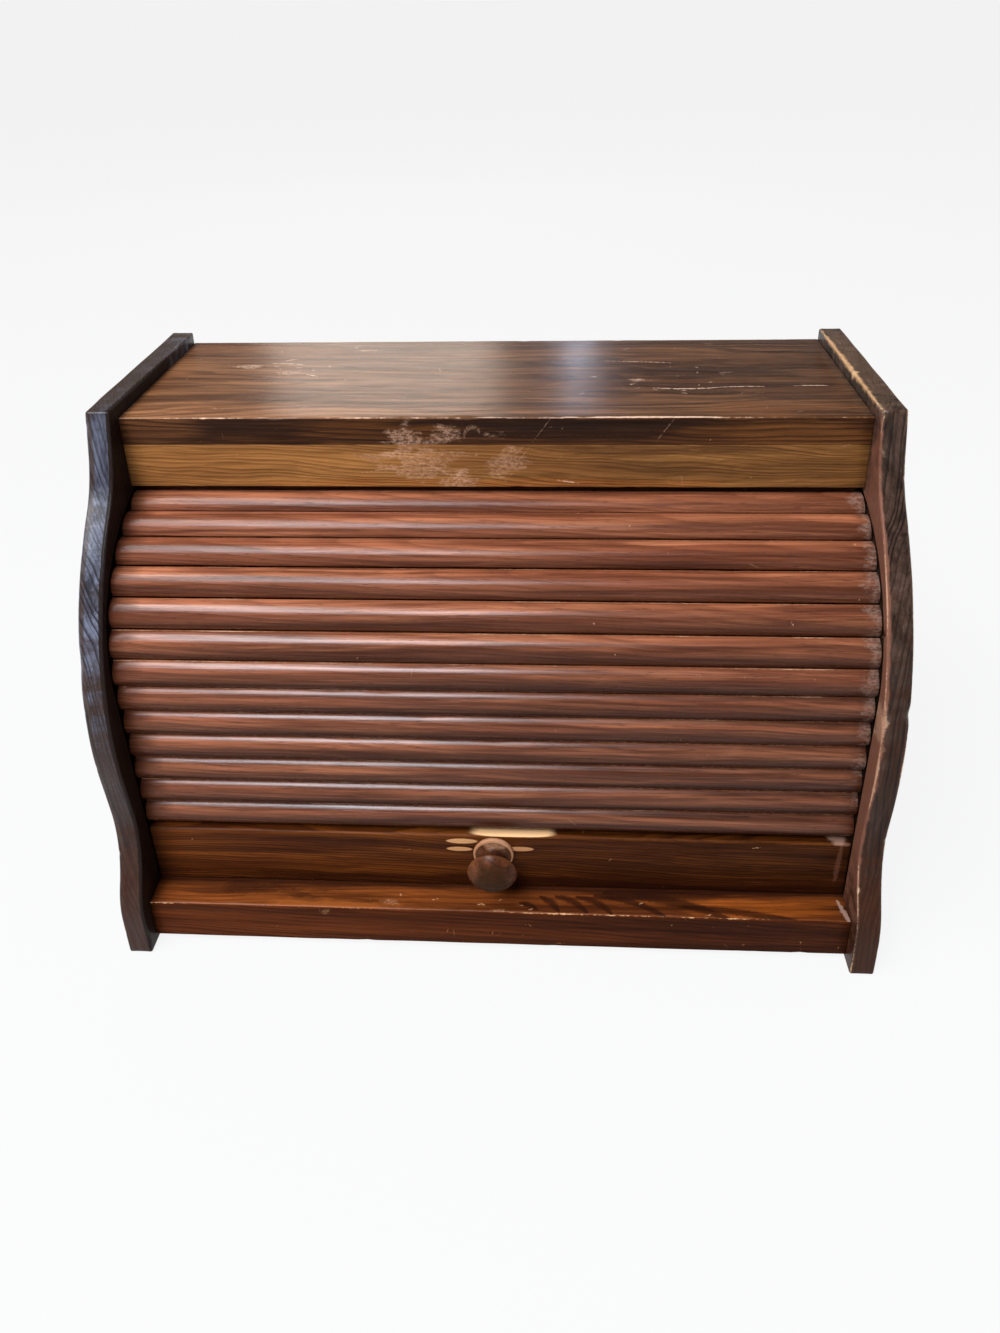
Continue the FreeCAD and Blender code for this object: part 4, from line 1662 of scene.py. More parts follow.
@dataclass
class LiftRail:
    """The flat rail at the tambour's foot, with its strip of canvas and its turned knob."""

    rail_finish: Material
    knob_finish: Material
    tambour: Tambour
    height: float = 41.5 * MM
    thickness: float = 12.0 * MM
    top_gap: float = 1.7 * MM
    bevel: float = 7.0 * MM
    screw_radius: float = 2.25 * MM
    recess_radius: float = 4.25 * MM
    recess_depth: float = 3.0 * MM
    knob_steps: int = 72
    knob_raise: float = 7.0 * MM

    @property
    def place(self) -> float:
        """Distance of the rail's middle along the track."""
        return self.tambour.rail_top_place + self.height / 2

    def board(self) -> Piece:
        """The rail, bored for its screw.

        Returns:
            The rail.
        """
        half = self.height / 2
        top = half - self.top_gap + self.tambour.gap / 2
        back, face = self.tambour.thickness - self.thickness, self.tambour.thickness
        spots = (
            (back, -half, 0.5, 0.3),
            (face, -half, 1.3, 0.8),
            (face, top, 2.0, 0.9),
            (0.0, top, 0.6, 0.3),
            (back, top - self.bevel, 0.8, 0.3),
        )
        corners = [Corner(*TRACK.spot(self.place, out, up), size * MM, wear) for out, up, size, wear in spots]
        reach = self.tambour.half_length
        board = Board(
            "lift_rail_board",
            corners,
            -reach,
            reach,
            seed=3.1,
            dints=(Dint(-0.018, 2, 5 * MM, 0.8), Dint(0.12, 1, 6 * MM, 1.0), Dint(-0.15, 1, 4 * MM, 1.4)),
            # Painted shadow at the rail's ends, longer at the left end.
            end_shade=0.85,
            end_reach=3 * MM,
            left_reach=20 * MM,
        )
        piece = board.build(self.rail_finish, (0.4, 0.01, 0.003))
        hole = self.bore(self.screw_radius, -MM, self.thickness + MM)
        carve(piece, [hole, self.bore(self.recess_radius, -MM, self.recess_depth)])
        return stand_in(piece, "lift_rail", "rail")

    def ring(self, made: Skin, out: float, count: int, reach: Callable[[float], float], *look: float) -> None:
        """Add a ring round the knob's axis to a skin.

        Args:
            made: the skin.
            out: the ring's distance from the slats' backs.
            count: how many points it has.
            reach: its radius at a turn.
            look: the arris's share and the painted shade's share.
        """
        out_y, out_z = TRACK.facing(self.place)
        y, z = TRACK.spot(self.place, out, self.knob_raise)
        made.begin()
        for step in range(count):
            turn = tau * step / count
            radius = reach(turn)
            side, rise = radius * cos(turn), radius * sin(turn)
            made.add((side, y - out_z * rise, z + out_y * rise), *look)

    def bore(self, radius: float, start: float, stop: float) -> Piece:
        """A round hole from the rail's inner face, as a solid to cut with.

        Args:
            radius: its radius.
            start: its start, from the inner face outward.
            stop: its end.

        Returns:
            The solid.
        """
        made = Skin()
        for depth in (start, stop):
            self.ring(made, self.tambour.thickness - self.thickness + depth, 32, lambda turn: radius)
        made.loft()
        return made.make("bore_cutter", self.rail_finish)

    def knob_profile(self) -> list[tuple[float, float, float, float]]:
        """The knob's half section.

        Returns:
            Reach from the rail, radius, arris share and painted shade share of each point, in mm.
        """
        reach, head, head_at = 22.0, 14.0, 15.0
        base, base_high, neck, neck_at = 11.6, 2.6, 6.4, 7.0
        cove_steps, flare_steps, dome_steps = 10, 14, 14
        foot = base - 0.9
        # The last number of each point is painted shade, strongest at the foot where the knob meets the rail,
        # and in its neck.
        points = [
            (0.0, 2.4, 0.0, 0.3),
            (0.0, base - 0.5, 0.0, 0.6),
            (0.12, base - 0.15, 0.3, 0.5),
            (0.5, base, 0.6, 0.2),
            (base_high - 0.8, base, 0.8, 0.0),
            (base_high - 0.25, base - 0.2, 1.0, 0.0),
            (base_high, base - 0.8, 1.0, 0.0),
        ]
        for step in range(1, cove_steps + 1):
            turn = QUARTER_TURN * step / cove_steps
            rise = neck_at - (neck_at - base_high) * cos(turn)
            points.append((rise, foot - (foot - neck) * sin(turn), 0.55 - 0.05 * step, 0.04 * step))
        for step in range(1, flare_steps + 1):
            turn = QUARTER_TURN * step / flare_steps
            rise = neck_at + (head_at - 0.6 - neck_at) * sin(turn)
            points.append((rise, head - (head - neck) * cos(turn), 0.03 * step, 0.25 - 0.018 * step))
        dome = ((reach - head_at) ** 2 + head**2) / (2 * (reach - head_at))
        widest = asin(head / dome)
        points += [(head_at - 0.1, head - 0.03, 0.6, 0.0), (head_at + 0.28, head - 0.24, 0.6, 0.0)]
        for step in range(1, dome_steps + 1):
            turn = widest * (1 - step / dome_steps) * 0.965
            rise, arris = reach - dome * (1 - cos(turn)), max(0.4 - 0.05 * step, 0.0)
            points.append((rise, dome * sin(turn), arris, 0.0))
        return [point for point in points if point[1] > 0.05]

    def knob(self) -> Piece:
        """The turned knob, very slightly out of round, with turning marks.

        Returns:
            The knob.
        """
        made = Skin()
        for index, (rise, radius, *look) in enumerate(self.knob_profile()):

            def worn(turn: float) -> float:
                """The radius at a turn."""
                wave = 1 + ripple(cos(turn) * 1.3, sin(turn) * 1.3, rise * MM * 160.0)
                mark = 0.05 * wave + 0.02 * (index % 2)
                return max(radius - mark * min(radius / 3, 1.0), 0.03) * MM

            self.ring(made, self.tambour.thickness + rise * MM, self.knob_steps, worn, *look)
        made.loft()
        piece = made.make("knob_turned", self.knob_finish, (0.05, 0.2, 0.1))
        return stand_in(piece, "knob", "rail")

    def canvas(self, board: Piece) -> Piece:
        """The strip of canvas on the rail's back.

        Args:
            board: the rail.

        Returns:
            The strip.
        """
        height = self.height - 2 * self.bevel
        depth = self.thickness - self.tambour.thickness + CANVAS_GAP
        strip = self.tambour.strip("canvas_strip_rail", self.place + self.bevel / 2, height, depth)
        return self.tambour.glue(strip, "rail_canvas", "rail", height, board)

    def build(self) -> list[Piece]:
        """The rail, its canvas and its knob."""
        board = self.board()
        return [board, self.canvas(board), self.knob()]


@dataclass(frozen=True)
class Fixed:
    """A fixed board: its node, piece and finish, and the roundness in mm and wear of its four arrises.

    The arrises are the lower front, lower back, upper back and upper front one. Where front_finish is
    given, the front face down from front_drop below the top has that finish.
    """

    node: str
    piece: str
    slot: str
    finish: str
    arrises: tuple[Flat, Flat, Flat, Flat]
    plank: Place
    seed: float
    # Painted shadow at the board's ends: its strength, and its length at the left end.
    end_shade: float
    left_reach: float = 5.0 * MM
    dints: tuple[Dint, ...] = ()
    front_finish: str = ""
    front_drop: float = 0.0
    front_depth: float = 0.7 * MM

    def build(self, finishes: dict[str, Material]) -> Piece:
        """Make the board between the side panels.

        Args:
            finishes: the materials by name.

        Returns:
            The board.
        """
        low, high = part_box(self.node)
        places = ((low.y, low.z), (high.y, low.z), (high.y, high.z), (low.y, high.z))
        corners = [Corner(y, z, size * MM, wear) for (y, z), (size, wear) in zip(places, self.arrises)]
        look = {"end_shade": self.end_shade, "left_reach": self.left_reach}
        board = Board(self.piece, corners, -HALF_INSIDE, HALF_INSIDE, self.seed, dints=self.dints, **look)
        piece = board.build(finishes[self.finish], self.plank)
        if self.front_finish:
            piece.data.materials.append(finishes[self.front_finish])
            for polygon in piece.data.polygons:
                ahead = polygon.center.y < low.y + self.front_depth
                polygon.material_index = int(ahead and polygon.center.z < high.z - self.front_drop)
        return stand_in(piece, self.node, "case")


@dataclass
class Case:
    """The fixed boards: side panels, top board, apron and sill, and the plain pieces inside."""

    finishes: dict[str, Material]
    boards: tuple[Fixed, ...] = (
        Fixed(
            "top_board", "top_board_panel", "top_pine", "top",
            arrises=((0.35, 0.25), (0.6, 0.3), (0.9, 0.5), (1.25, 1.0)), plank=(0.12, 0.0, 0.0), seed=8.3,
            end_shade=0.5, left_reach=7 * MM, dints=( Dint(-0.012, 3, 5 * MM, 0.8),
            Dint(0.128, 3, 9 * MM, 0.9), Dint(-0.112, 3, 3 * MM, 0.9), Dint(0.05, 3, 3 * MM, 0.8), ),
            front_finish="top_edge", front_drop=0.5 * MM,
        ),
        Fixed(
            "apron", "apron_board", "top_pine", "apron",
            arrises=((0.9, 0.7), (0.7, 0.4), (0.3, 0.0), (0.35, 0.25)), plank=(0.5, 0.01, 0.0), seed=14.9,
            end_shade=0.6, left_reach=13 * MM,
        ),
        Fixed(
            "sill", "sill_board", "front_pine", "sill",
            arrises=((1.0, 0.7), (0.6, 0.2), (0.3, 0.2), (1.5, 1.0)), plank=(0.2, 0.0, 0.0), seed=21.7,
            end_shade=0.6,
            dints=(Dint(-0.15, 3, 4 * MM, 1.0), Dint(-0.06, 3, 8 * MM, 0.8), Dint(0.14, 3, 5 * MM, 0.9)),
            front_finish="sill_front", front_drop=0.6 * MM,
        ),
    )
    left_knocks: tuple[Knock, ...] = (
        (-0.080, 0.190, 9 * MM, 1),
        (-0.1035, 0.012, 5 * MM, 0),
        (-0.02, 0.309, 4 * MM, 1),
    )
    right_knocks: tuple[Knock, ...] = (
        (-0.0945, 0.169, 5 * MM, 0),
        (-0.0945, 0.172, 4 * MM, 1),
        (0.031, 0.310, 5 * MM, 0),
        (-0.0265, 0.309, 4 * MM, 0),
        (-0.100, 0.012, 6 * MM, 0),
    )

    def panels(self) -> list[Piece]:
        """Both side panels, each with its own knocks.

        Returns:
            The left and the right panel.
        """
        made = []
        for side, name, knocks in ((-1, "left", self.left_knocks), (1, "right", self.right_knocks)):
            finish, shaded_cut = self.finishes["side_" + name], self.finishes["groove"]
            panel = SidePanel(side, f"side_panel_{name}", finish, shaded_cut, knocks=knocks)
            made.append(stand_in(panel.build(), f"side_{name}", "case"))
        return made

    def plain(self) -> list[Piece]:
        """The pieces whose own shape is right, given their finishes.

        Returns:
            The pieces.
        """
        wanted = {
            "floor_board": "floor",
            "glue_blocks": "floor",
            "back_panel": "plywood",
            "dowels": "dowel",
            "back_brads": "steel",
            "knob_screw": "steel",
        }
        made = []
        for node, finish in wanted.items():
            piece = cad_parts[node]
            piece.data.materials.clear()
            piece.data.materials.append(self.finishes[finish])
            made.append(piece)
        return made

    def build(self) -> list[Piece]:
        """Every fixed board."""
        return self.panels() + [board.build(self.finishes) for board in self.boards] + self.plain()


# Stage, lights and camera


@dataclass(frozen=True)
class Lamp:
    """A soft rectangular lamp aimed at a point."""

    name: str
    place: Place
    width: float
    height: float
    power: float
    tint: Colour = (1.0, 1.0, 1.0)
    target: Place = (0.0, 0.0, 0.16)

    def build(self) -> Piece:
        """Hang the lamp.

        Returns:
            The lamp, which the camera doesn't see.
        """
        light = bpy.data.lights.new(self.name, "AREA")
        light.shape, light.size, light.size_y = "RECTANGLE", self.width, self.height
        light.energy, light.color = self.power, self.tint
        lamp = placed(self.name, light)
        lamp.location = self.place
        lamp.rotation_euler = (Vector(self.target) - Vector(self.place)).to_track_quat("-Z", "Y").to_euler()
        lamp.visible_camera = False
        return lamp


@dataclass
class Studio:
    """A pale floor, a soft pale surround, the lamps and the camera."""

    floor_radii: tuple[float, ...] = (0.4, 1.2, 4.0, 15.0, 60.0)
    floor_sides: int = 48
    floor_white: float = 0.5
    floor_glow: float = 0.87
    sky_fill: float = 0.24
    sky_high: float = 0.12
    sky_seen: float = 0.888
    lamps: tuple[Lamp, ...] = (
        Lamp("Main softbox", (-1.35, -0.9, 3.0), 1.2, 1.1, 66.0),
        Lamp("Window at the front left", (-0.55, -1.45, 1.95), 0.95, 0.8, 58.0, (0.86, 0.91, 1.0)),
        Lamp("Window behind", (-0.50, 2.4, 1.15), 0.7, 0.6, 5.5, (1.0, 0.87, 0.76)),
        Lamp("Narrow window behind", (0.1, 2.5, 1.10), 0.06, 0.45, 0.9, (0.7, 0.8, 1.0)),
        Lamp("Low fill at the right", (1.75, 0.25, 0.45), 1.0, 0.7, 6.5),
    )
    sensor: float = 36.0
    # The lens's length, its axis and the frame in pixels; then the eye in metres and its angles in degrees.
    focal: float = 984.8
    principal: Flat = (500.0, 441.1)
    size: Flat = (1000.0, 1333.0)
    eye: Place = (0.0369, -0.4939, 0.5067)
    yaw: float = -3.71
    pitch: float = 24.55
    roll: float = 1.55

    def seen(self, net: Net) -> Socket:
        """One for what is seen, in gloss and through glass too, and nothing for what only lights."""
        path = net.add("LightPath").outputs
        seen = net.most(path["Is Camera Ray"], path["Is Glossy Ray"])
        return net.most(seen, path["Is Transmission Ray"])

    def floor(self) -> Piece:
        """A wide floor whose own paleness is kept for the eye, with the object's shadow on it.

        Returns:
            The floor, a disc whose faces grow outward.
        """
        made = Skin()
        centre = made.add(ORIGIN)
        turns = [tau * step / self.floor_sides for step in range(self.floor_sides)]
        for radius in self.floor_radii:
            made.begin()
            for turn in turns:
                made.add((radius * cos(turn), radius * sin(turn), 0.0))
        inner = made.rings[0]
        made.faces += [(centre, one, two) for one, two in zip(inner, inner[1:] + inner[:1])]
        made.loft(capped=False)
        material = bpy.data.materials.new("Pale floor")
        material.use_nodes = True
        net = Net(material.node_tree)
        inputs = {"Base Color": (self.floor_white,) * 3, "Roughness": 0.9, "Specular IOR Level": 0.0}
        paper = net.add("BsdfPrincipled", inputs).outputs[0]
        glow = net.add("Emission").outputs[0]
        share = net.times(self.seen(net), self.floor_glow)
        blend = net.add("MixShader", {0: share, 1: paper, 2: glow}).outputs[0]
        net.add("OutputMaterial", {"Surface": blend})
        floor = made.make("floor", material)
        return floor

    def surround(self) -> None:
        """A pale horizon that fades to a dimmer ceiling, and an even paleness for the eye."""
        world = bpy.data.worlds.new("Surround")
        bpy.context.scene.world = world
        world.use_nodes = True
        net = Net(world.node_tree)
        rise = net.split(net.add("TexCoord").outputs["Generated"])[2]
        level = net.step(rise, 0.02, 0.30, 1.0, self.sky_high)
        camera = net.add("LightPath").outputs["Is Camera Ray"]
        level = net.times_plus(camera, net.minus(self.sky_seen, level), level)
        level = net.times_plus(self.seen(net), net.minus(level, self.sky_fill), self.sky_fill)
        sky = net.add("Background", {"Color": (1.0, 1.0, 1.0), "Strength": level})
        net.add("OutputWorld", {"Surface": sky.outputs[0]})

    def camera(self) -> Piece:
        """The camera, with its lens axis above the middle of the frame.

        Returns:
            The camera, which the scene uses.
        """
        yaw, pitch, roll = (radians(angle) for angle in (self.yaw, self.pitch, self.roll))
        ahead = Vector((sin(yaw) * cos(pitch), cos(yaw) * cos(pitch), -sin(pitch)))
        right = Vector((cos(yaw), -sin(yaw), 0.0))
        down = ahead.cross(right)
        turned = right * cos(roll) + down * sin(roll)
        dropped = down * cos(roll) - right * sin(roll)
        lens = bpy.data.cameras.new("View")
        lens.sensor_fit, lens.sensor_width, lens.sensor_height = "VERTICAL", self.sensor, self.sensor
        wide, high = self.size
        lens.lens = self.focal / high * self.sensor
        lens.shift_x = (wide / 2 - self.principal[0]) / high
        lens.shift_y = (self.principal[1] - high / 2) / high
        lens.clip_start, lens.clip_end = 0.01, 200.0
        view = placed("View", lens)
        axes = Matrix((turned, -dropped, -ahead)).transposed().to_4x4()
        view.matrix_world = Matrix.Translation(self.eye) @ axes
        bpy.context.scene.camera = view
        return view

    def build(self) -> None:
        """Everything round the object."""
        bpy.context.scene.view_settings.view_transform = "Standard"
        self.floor()
        self.surround()
        for lamp in self.lamps:
            lamp.build()
        self.camera()


# The finishes of this box

TOP_FACE = Face(2, 302.7)
FRONT_FACE = Face(1, -18.4)
RAIL_FACE = Face(1, -80.3)
SILL_FACE = Face(2, 30.5)
SILL_FRONT_FACE = Face(1, -97.1)
FRONT_EDGE = (-18.4 * MM, 302.7 * MM)
SIDE_OUTER = 206.6 * MM

TOP = Pine(
    "Top board pine",
    body=paint(88, 54, 33), deep=paint(46, 26, 16), bright=paint(142, 98, 64), line=paint(52, 27, 15),
    bare=paint(216, 182, 156), pith=(0.0, 0.03, 0.235), slope=0.035, ring_width=3.4 * MM, wander=8.0 * MM,
    fine=1.5, cloud_share=0.5, streak_share=0.65, flare_share=0.4, gloss=0.2, shine=0.2, scratches=0.45,
    wear=0.24, painted_light_drift=-0.35,
    spots=(
        *TOP_FACE.spots(
            (-150, 60, 10, 4, 0.5, 1.3), (-122, 50, 6, 3, 0.5, 1.3), (-85, 89, 8, 2, 0.6, 1),
            (82, 36, 6, 3, 0.5, 1.2), (120, 44, 50, 12, 0.55, 0.9, paint(40, 24, 17), 0.2, 0.1, True),
            (110, 18, 30, 5, 0.5, 0.9, paint(40, 24, 17), 0.2, 0.1, True),
            (150, -4, 45, 13, 0.5, 0.9, paint(146, 92, 56), 0.2, 0.1, True),
            (-110, -12, 90, 12, 0.5, 0.8, paint(160, 110, 74), 0.2, 0.1, True),
            (-135, 10, 70, 6, 0.55, 0.9, paint(48, 28, 18), 0.2, 0.08, True),
        ),
        Spot((0.083, *FRONT_EDGE), (0.055, 0.0016, 0.0016), 0.95, 0.35, None, 0.3, 0.5),
        Spot((0.004, *FRONT_EDGE), (0.018, 0.0012, 0.0012), 0.8, 0.5, None, 0.4, 0.5),
        Spot((-0.112, *FRONT_EDGE), (0.014, 0.0010, 0.0010), 0.8, 0.6, None, 0.4, 0.5),
    ),
    scores=(
        *TOP_FACE.scores(
            (90, 23.5, 128, 24.5, 0.9, -2), (128, 24.5, 152, 25, 0.6, 0.4), (78, 29, 84, 37, 1.2, -1.5),
            (63, 68, 104, 64, 0.5, 0.5), (168, 26, 188, 26, 0.6, 0.5), (104, 64, 103, 57, 0.4, 0.5),
            (32, -14, 33, -6, 0.4, 0.8, 0.5), (-138, 66, -118, 64, 0.8, 0.6, 0.7),
            (-132, 70, -124, 73, 0.6, 0.6, 0.7), (-112, 47, -105, 44, 0.8, 0, 0.7),
            (-158, 60, -156, 48, 0.35, 1.5, 0.6), (-170, 52, -166, 46, 0.35, 1.2, 0.6),
        ),
        *TOP_FACE.nicks(1.7, 14, (105, 30), (65, 34)),
        *TOP_FACE.nicks(5.2, 7, (-130, 62), (45, 16)),
        *TOP_FACE.nicks(9.4, 5, (-60, 92), (50, 8)),
    ),
)
TOP_EDGE = Pine(
    "Top edge pine",
    body=paint(72, 40, 18), deep=paint(28, 13, 6), bright=paint(118, 70, 32), line=paint(32, 15, 7),
    bare=paint(206, 162, 134), pith=(0.0, 0.06, 0.235), slope=0.02, ring_width=2.2 * MM, streak_share=0.85,
    line_share=0.75, gloss=0.42, shine=0.1, scratches=0.5, wear=0.2,
    spots=FRONT_FACE.spots(
        (-120, 295, 55, 9, 0.6, 1, paint(30, 16, 9), 0.15, 0.06, True),
        (40, 297, 95, 9, 0.75, 0.9, paint(26, 13, 7), 0.15, 0.06, True),
        (165, 294, 50, 10, 0.5, 1, paint(116, 70, 32), 0.15, 0.06, True),
        (-185, 294, 30, 10, 0.45, 1, paint(116, 72, 40), 0.15, 0.06, True),
        (-30, 291, 24, 6, 0.45, 1.3),
    ),
    scores=FRONT_FACE.scores(
        (97.5, 302, 88, 288, 0.3, 0, 0.22), (33, 302, 23, 288, 0.3, 0, 0.22),
    ),
)
APRON = Pine(
    "Apron pine",
    body=paint(130, 84, 42), deep=paint(88, 52, 24), bright=paint(174, 122, 66), line=paint(78, 45, 20),
    bare=paint(206, 160, 132), pith=(0.0, -0.02, 0.20), slope=0.05, ring_width=2.0 * MM, wander=9.0 * MM,
    line_share=0.75, streak_share=0.45, gloss=0.42, shine=0.1, scratches=0.5, wear=0.26, painted_light_drift=-0.35,
    spots=FRONT_FACE.spots(
        (-35, 276, 20, 9, 0.34, 1.6), (10, 277, 14, 8, 0.32, 1.7), (-16, 265, 12, 4, 0.5, 1.2),
        (-60, 280, 14, 3, 0.35, 1.4), (80, 284, 90, 4, 0.55, 1, paint(56, 32, 16), 0.15, 0.06, True),
        (90, 272, 30, 5, 0.3, 1.2, paint(56, 32, 16), 0.15, 0.08, True),
        (20, 264, 160, 3, 0.5, 0.8, paint(150, 80, 30), 0.15, 0.1, True),
    ),
    scores=FRONT_FACE.scores(
        (22, 286, 14, 275, 0.3, 0, 0.22), (36, 266, 48, 264, 0.4, 0, 0.7),
        (-70, 270, -35, 276, 0.3, 0, 0.4), (-50, 284, -20, 268, 0.3, 0, 0.4),
    ),
)
RAIL = Pine(
    "Lift rail pine",
    body=paint(70, 32, 9), deep=paint(34, 12, 4), bright=paint(122, 66, 22), line=paint(38, 14, 5),
    bare=paint(214, 168, 122), pith=(0.0, -0.04, 0.0), slope=0.03, ring_width=1.8 * MM, wander=6.0 * MM,
    fine=1.8, line_share=0.75, flare_share=0.35, gloss=0.38, shine=0.06, scratches=0.12, wear=0.17,
    painted_light_drift=-0.5,
    spots=RAIL_FACE.spots(
        (10.5, 71.4, 25, 1.3, 1, 0.12, paint(228, 180, 130), 0.0, 0.15),
        (-18, 66.4, 8.5, 1.9, 1, 0.12, paint(206, 152, 104), 0.05, 0.15),
        (-19.5, 60.2, 7, 1.6, 1, 0.12, paint(196, 140, 94), 0.05, 0.15),
        (15, 61.2, 7.5, 1.7, 1, 0.12, paint(190, 134, 90), 0.05, 0.15),
        # Painted highlight at the rail's right top corner, over a pale smear.
        (193, 71.2, 6.5, 2.2, 0.38, 0.8, paint(196, 156, 134), 0.1),
        # Painted shade along the rail's foot, above the sill.
        (50, 33, 240, 9, 0.75, 0.5, paint(36, 12, 5), 0.1, 0.1),
    ),
    scores=RAIL_FACE.scores(
        (194.5, 70, 193.5, 38, 2.2, 0, 0.14, paint(170, 112, 92), 0.3), (-52, 58, -46, 59, 0.5, 0, 0.5),
        (145, 66, 150, 67, 0.5, 0, 0.5),
    ),
)
# The dark strokes of figure on the sill, in mm: x and y of both ends, width and bow.
FAN = (
    (15.0, -90.5, 25.0, -94.5, 2.4, 1.0),
    (27.0, -86.0, 37.0, -95.0, 3.6, 1.6),
    (36.0, -85.5, 53.0, -95.5, 3.6, 2.4),
    (48.0, -85.5, 67.0, -96.0, 3.6, 2.6),
    (58.0, -84.0, 98.0, -97.5, 3.4, 3.2),
    (64.0, -82.0, 132.0, -97.0, 5.0, 3.6),
    (108.0, -90.0, 176.0, -98.5, 3.2, 1.0),
)
SILL = Pine(
    "Sill pine",
    body=paint(96, 46, 19), deep=paint(44, 19, 9), bright=paint(150, 80, 32), line=paint(50, 22, 10),
    bare=paint(196, 146, 108), pith=(0.0, -0.05, 0.00), slope=0.03, ring_width=2.2 * MM, wander=5.0 * MM,
    line_share=0.5, streak_share=0.7, flare_share=0.35, gloss=0.32, shine=0.12, scratches=0.2, wear=0.18,
    painted_light_drift=-0.25,
    spots=SILL_FACE.spots(
        (-85, -95.5, 40, 6, 0.5, 0.9, paint(160, 88, 38), 0.2, 0.2), (-60, -92, 4, 2, 0.35, 1.2),
        (5, -96, 12, 2, 0.6, 1.2), (-135, -86, 30, 5, 0.6, 1.2, paint(40, 18, 9), 0.3, 0.3),
        (145, -90, 55, 8, 0.65, 0.7, paint(160, 82, 28), 0.15, 0.1, True),
        # Painted shade and a painted reflection of the dark rail along the sill's back edge.
        (95, -81, 50, 5, 0.8, 0.8, paint(38, 16, 8), 0.1, 0.1),
        (0, -79, 300, 3, 0.7, 0.3, paint(32, 13, 7), 0.1, 0.2),
    ),
    scores=(
        *SILL_FACE.scores(
            (195.5, -83, 199.2, -98.5, 2, 0, 0.5, paint(176, 146, 130), 0.4),
        ),
        *SILL_FACE.scores(*((*stroke, 0.8, paint(38, 16, 8), 0.15) for stroke in FAN)),
        *SILL_FACE.nicks(2.9, 9, (20, -92), (100, 6)),
    ),
)
SILL_FRONT = Pine(
    "Sill front pine",
    body=paint(68, 29, 9), deep=paint(34, 12, 4), bright=paint(100, 48, 16), line=paint(38, 14, 5),
    pith=(0.0, -0.05, -0.03), ring_width=2.2 * MM, fine=1.5, flare_share=0.35, gloss=0.40, shine=0.05,
    scratches=0.35, wear=0.24, painted_light_drift=-0.3,
    scores=SILL_FRONT_FACE.nicks(6.6, 12, (20, 16), (180, 9), paint(150, 92, 56)),
)
# The slats' shade colour is the colour of the painted shade on their lower halves and ends.
SLAT = Pine(
    "Slat pine",
    body=paint(117, 64, 42), deep=paint(60, 29, 17), bright=paint(168, 106, 74), line=paint(70, 33, 18),
    bare=paint(206, 160, 128), ring_width=2.6 * MM, wander=3.0 * MM, fine=2.4, streak_share=0.7,
    flare_share=0.55, line_share=0.4, fleck_share=0.7, shade_paint=paint(38, 14, 6), gloss=0.24, shine=0.33,
    relief=0.4 * MM, scratches=0.1, wear=0.28, painted_light_drift=-0.25,
    spots=(Spot((0.1985, -0.03, 0.24), (0.006, 0.3, 0.12), 0.2, 1.0, paint(200, 172, 156), 0.8),),
)
SIDE = Pine(
    "Side pine",
    body=paint(59, 43, 35), deep=paint(24, 16, 13), bright=paint(104, 81, 68), line=paint(20, 13, 11),
    bare=paint(208, 172, 138), grain=Grain.ALONG_Z, pith=(0.0, 0.12, 0.10), slope=0.06, ring_width=2.2 * MM,
    wander=5.0 * MM, streak_share=0.8, line_share=0.9, flare_share=0.35, gloss=0.22, shine=0.14,
    scratches=0.35, wear=0.42, breaks=95.0,
    spots=(
        # Painted shade: the lower part of the panel darker and browner.
        Spot((SIDE_OUTER, -0.085, 0.0), (0.03, 0.09, 0.20), 0.95, 0.3, paint(54, 30, 18), 0.1, 0.45, True),
        Spot((SIDE_OUTER, -0.085, 0.0), (0.03, 0.09, 0.08), 0.5, 0.4, paint(62, 33, 19), 0.15, 0.45),
        Spot((SIDE_OUTER, 0.04, 0.3105), (0.03, 0.09, 0.003), 0.3, 0.6, paint(130, 100, 76), 0.3),
        Spot((HALF_INSIDE, 0.040, 0.3100), (0.0022, 0.075, 0.0026), 0.9, 0.5, paint(200, 156, 112), 0.4),
        Spot((0.2003, 0.028, 0.3095), (0.0032, 0.004, 0.0030), 0.8, 0.8, paint(206, 164, 120), 0.4),
        Spot((HALF_INSIDE, -0.094, 0.165), (0.0030, 0.02, 0.012), 0.85, 0.9, None, 0.4),
        # Painted light: the right panel's inner face reddish, lit from the left.
        Spot((HALF_INSIDE, -0.06, 0.17), (0.0022, 0.07, 0.16), 0.7, 0.3, paint(132, 86, 68), 0.1),
    ),
)
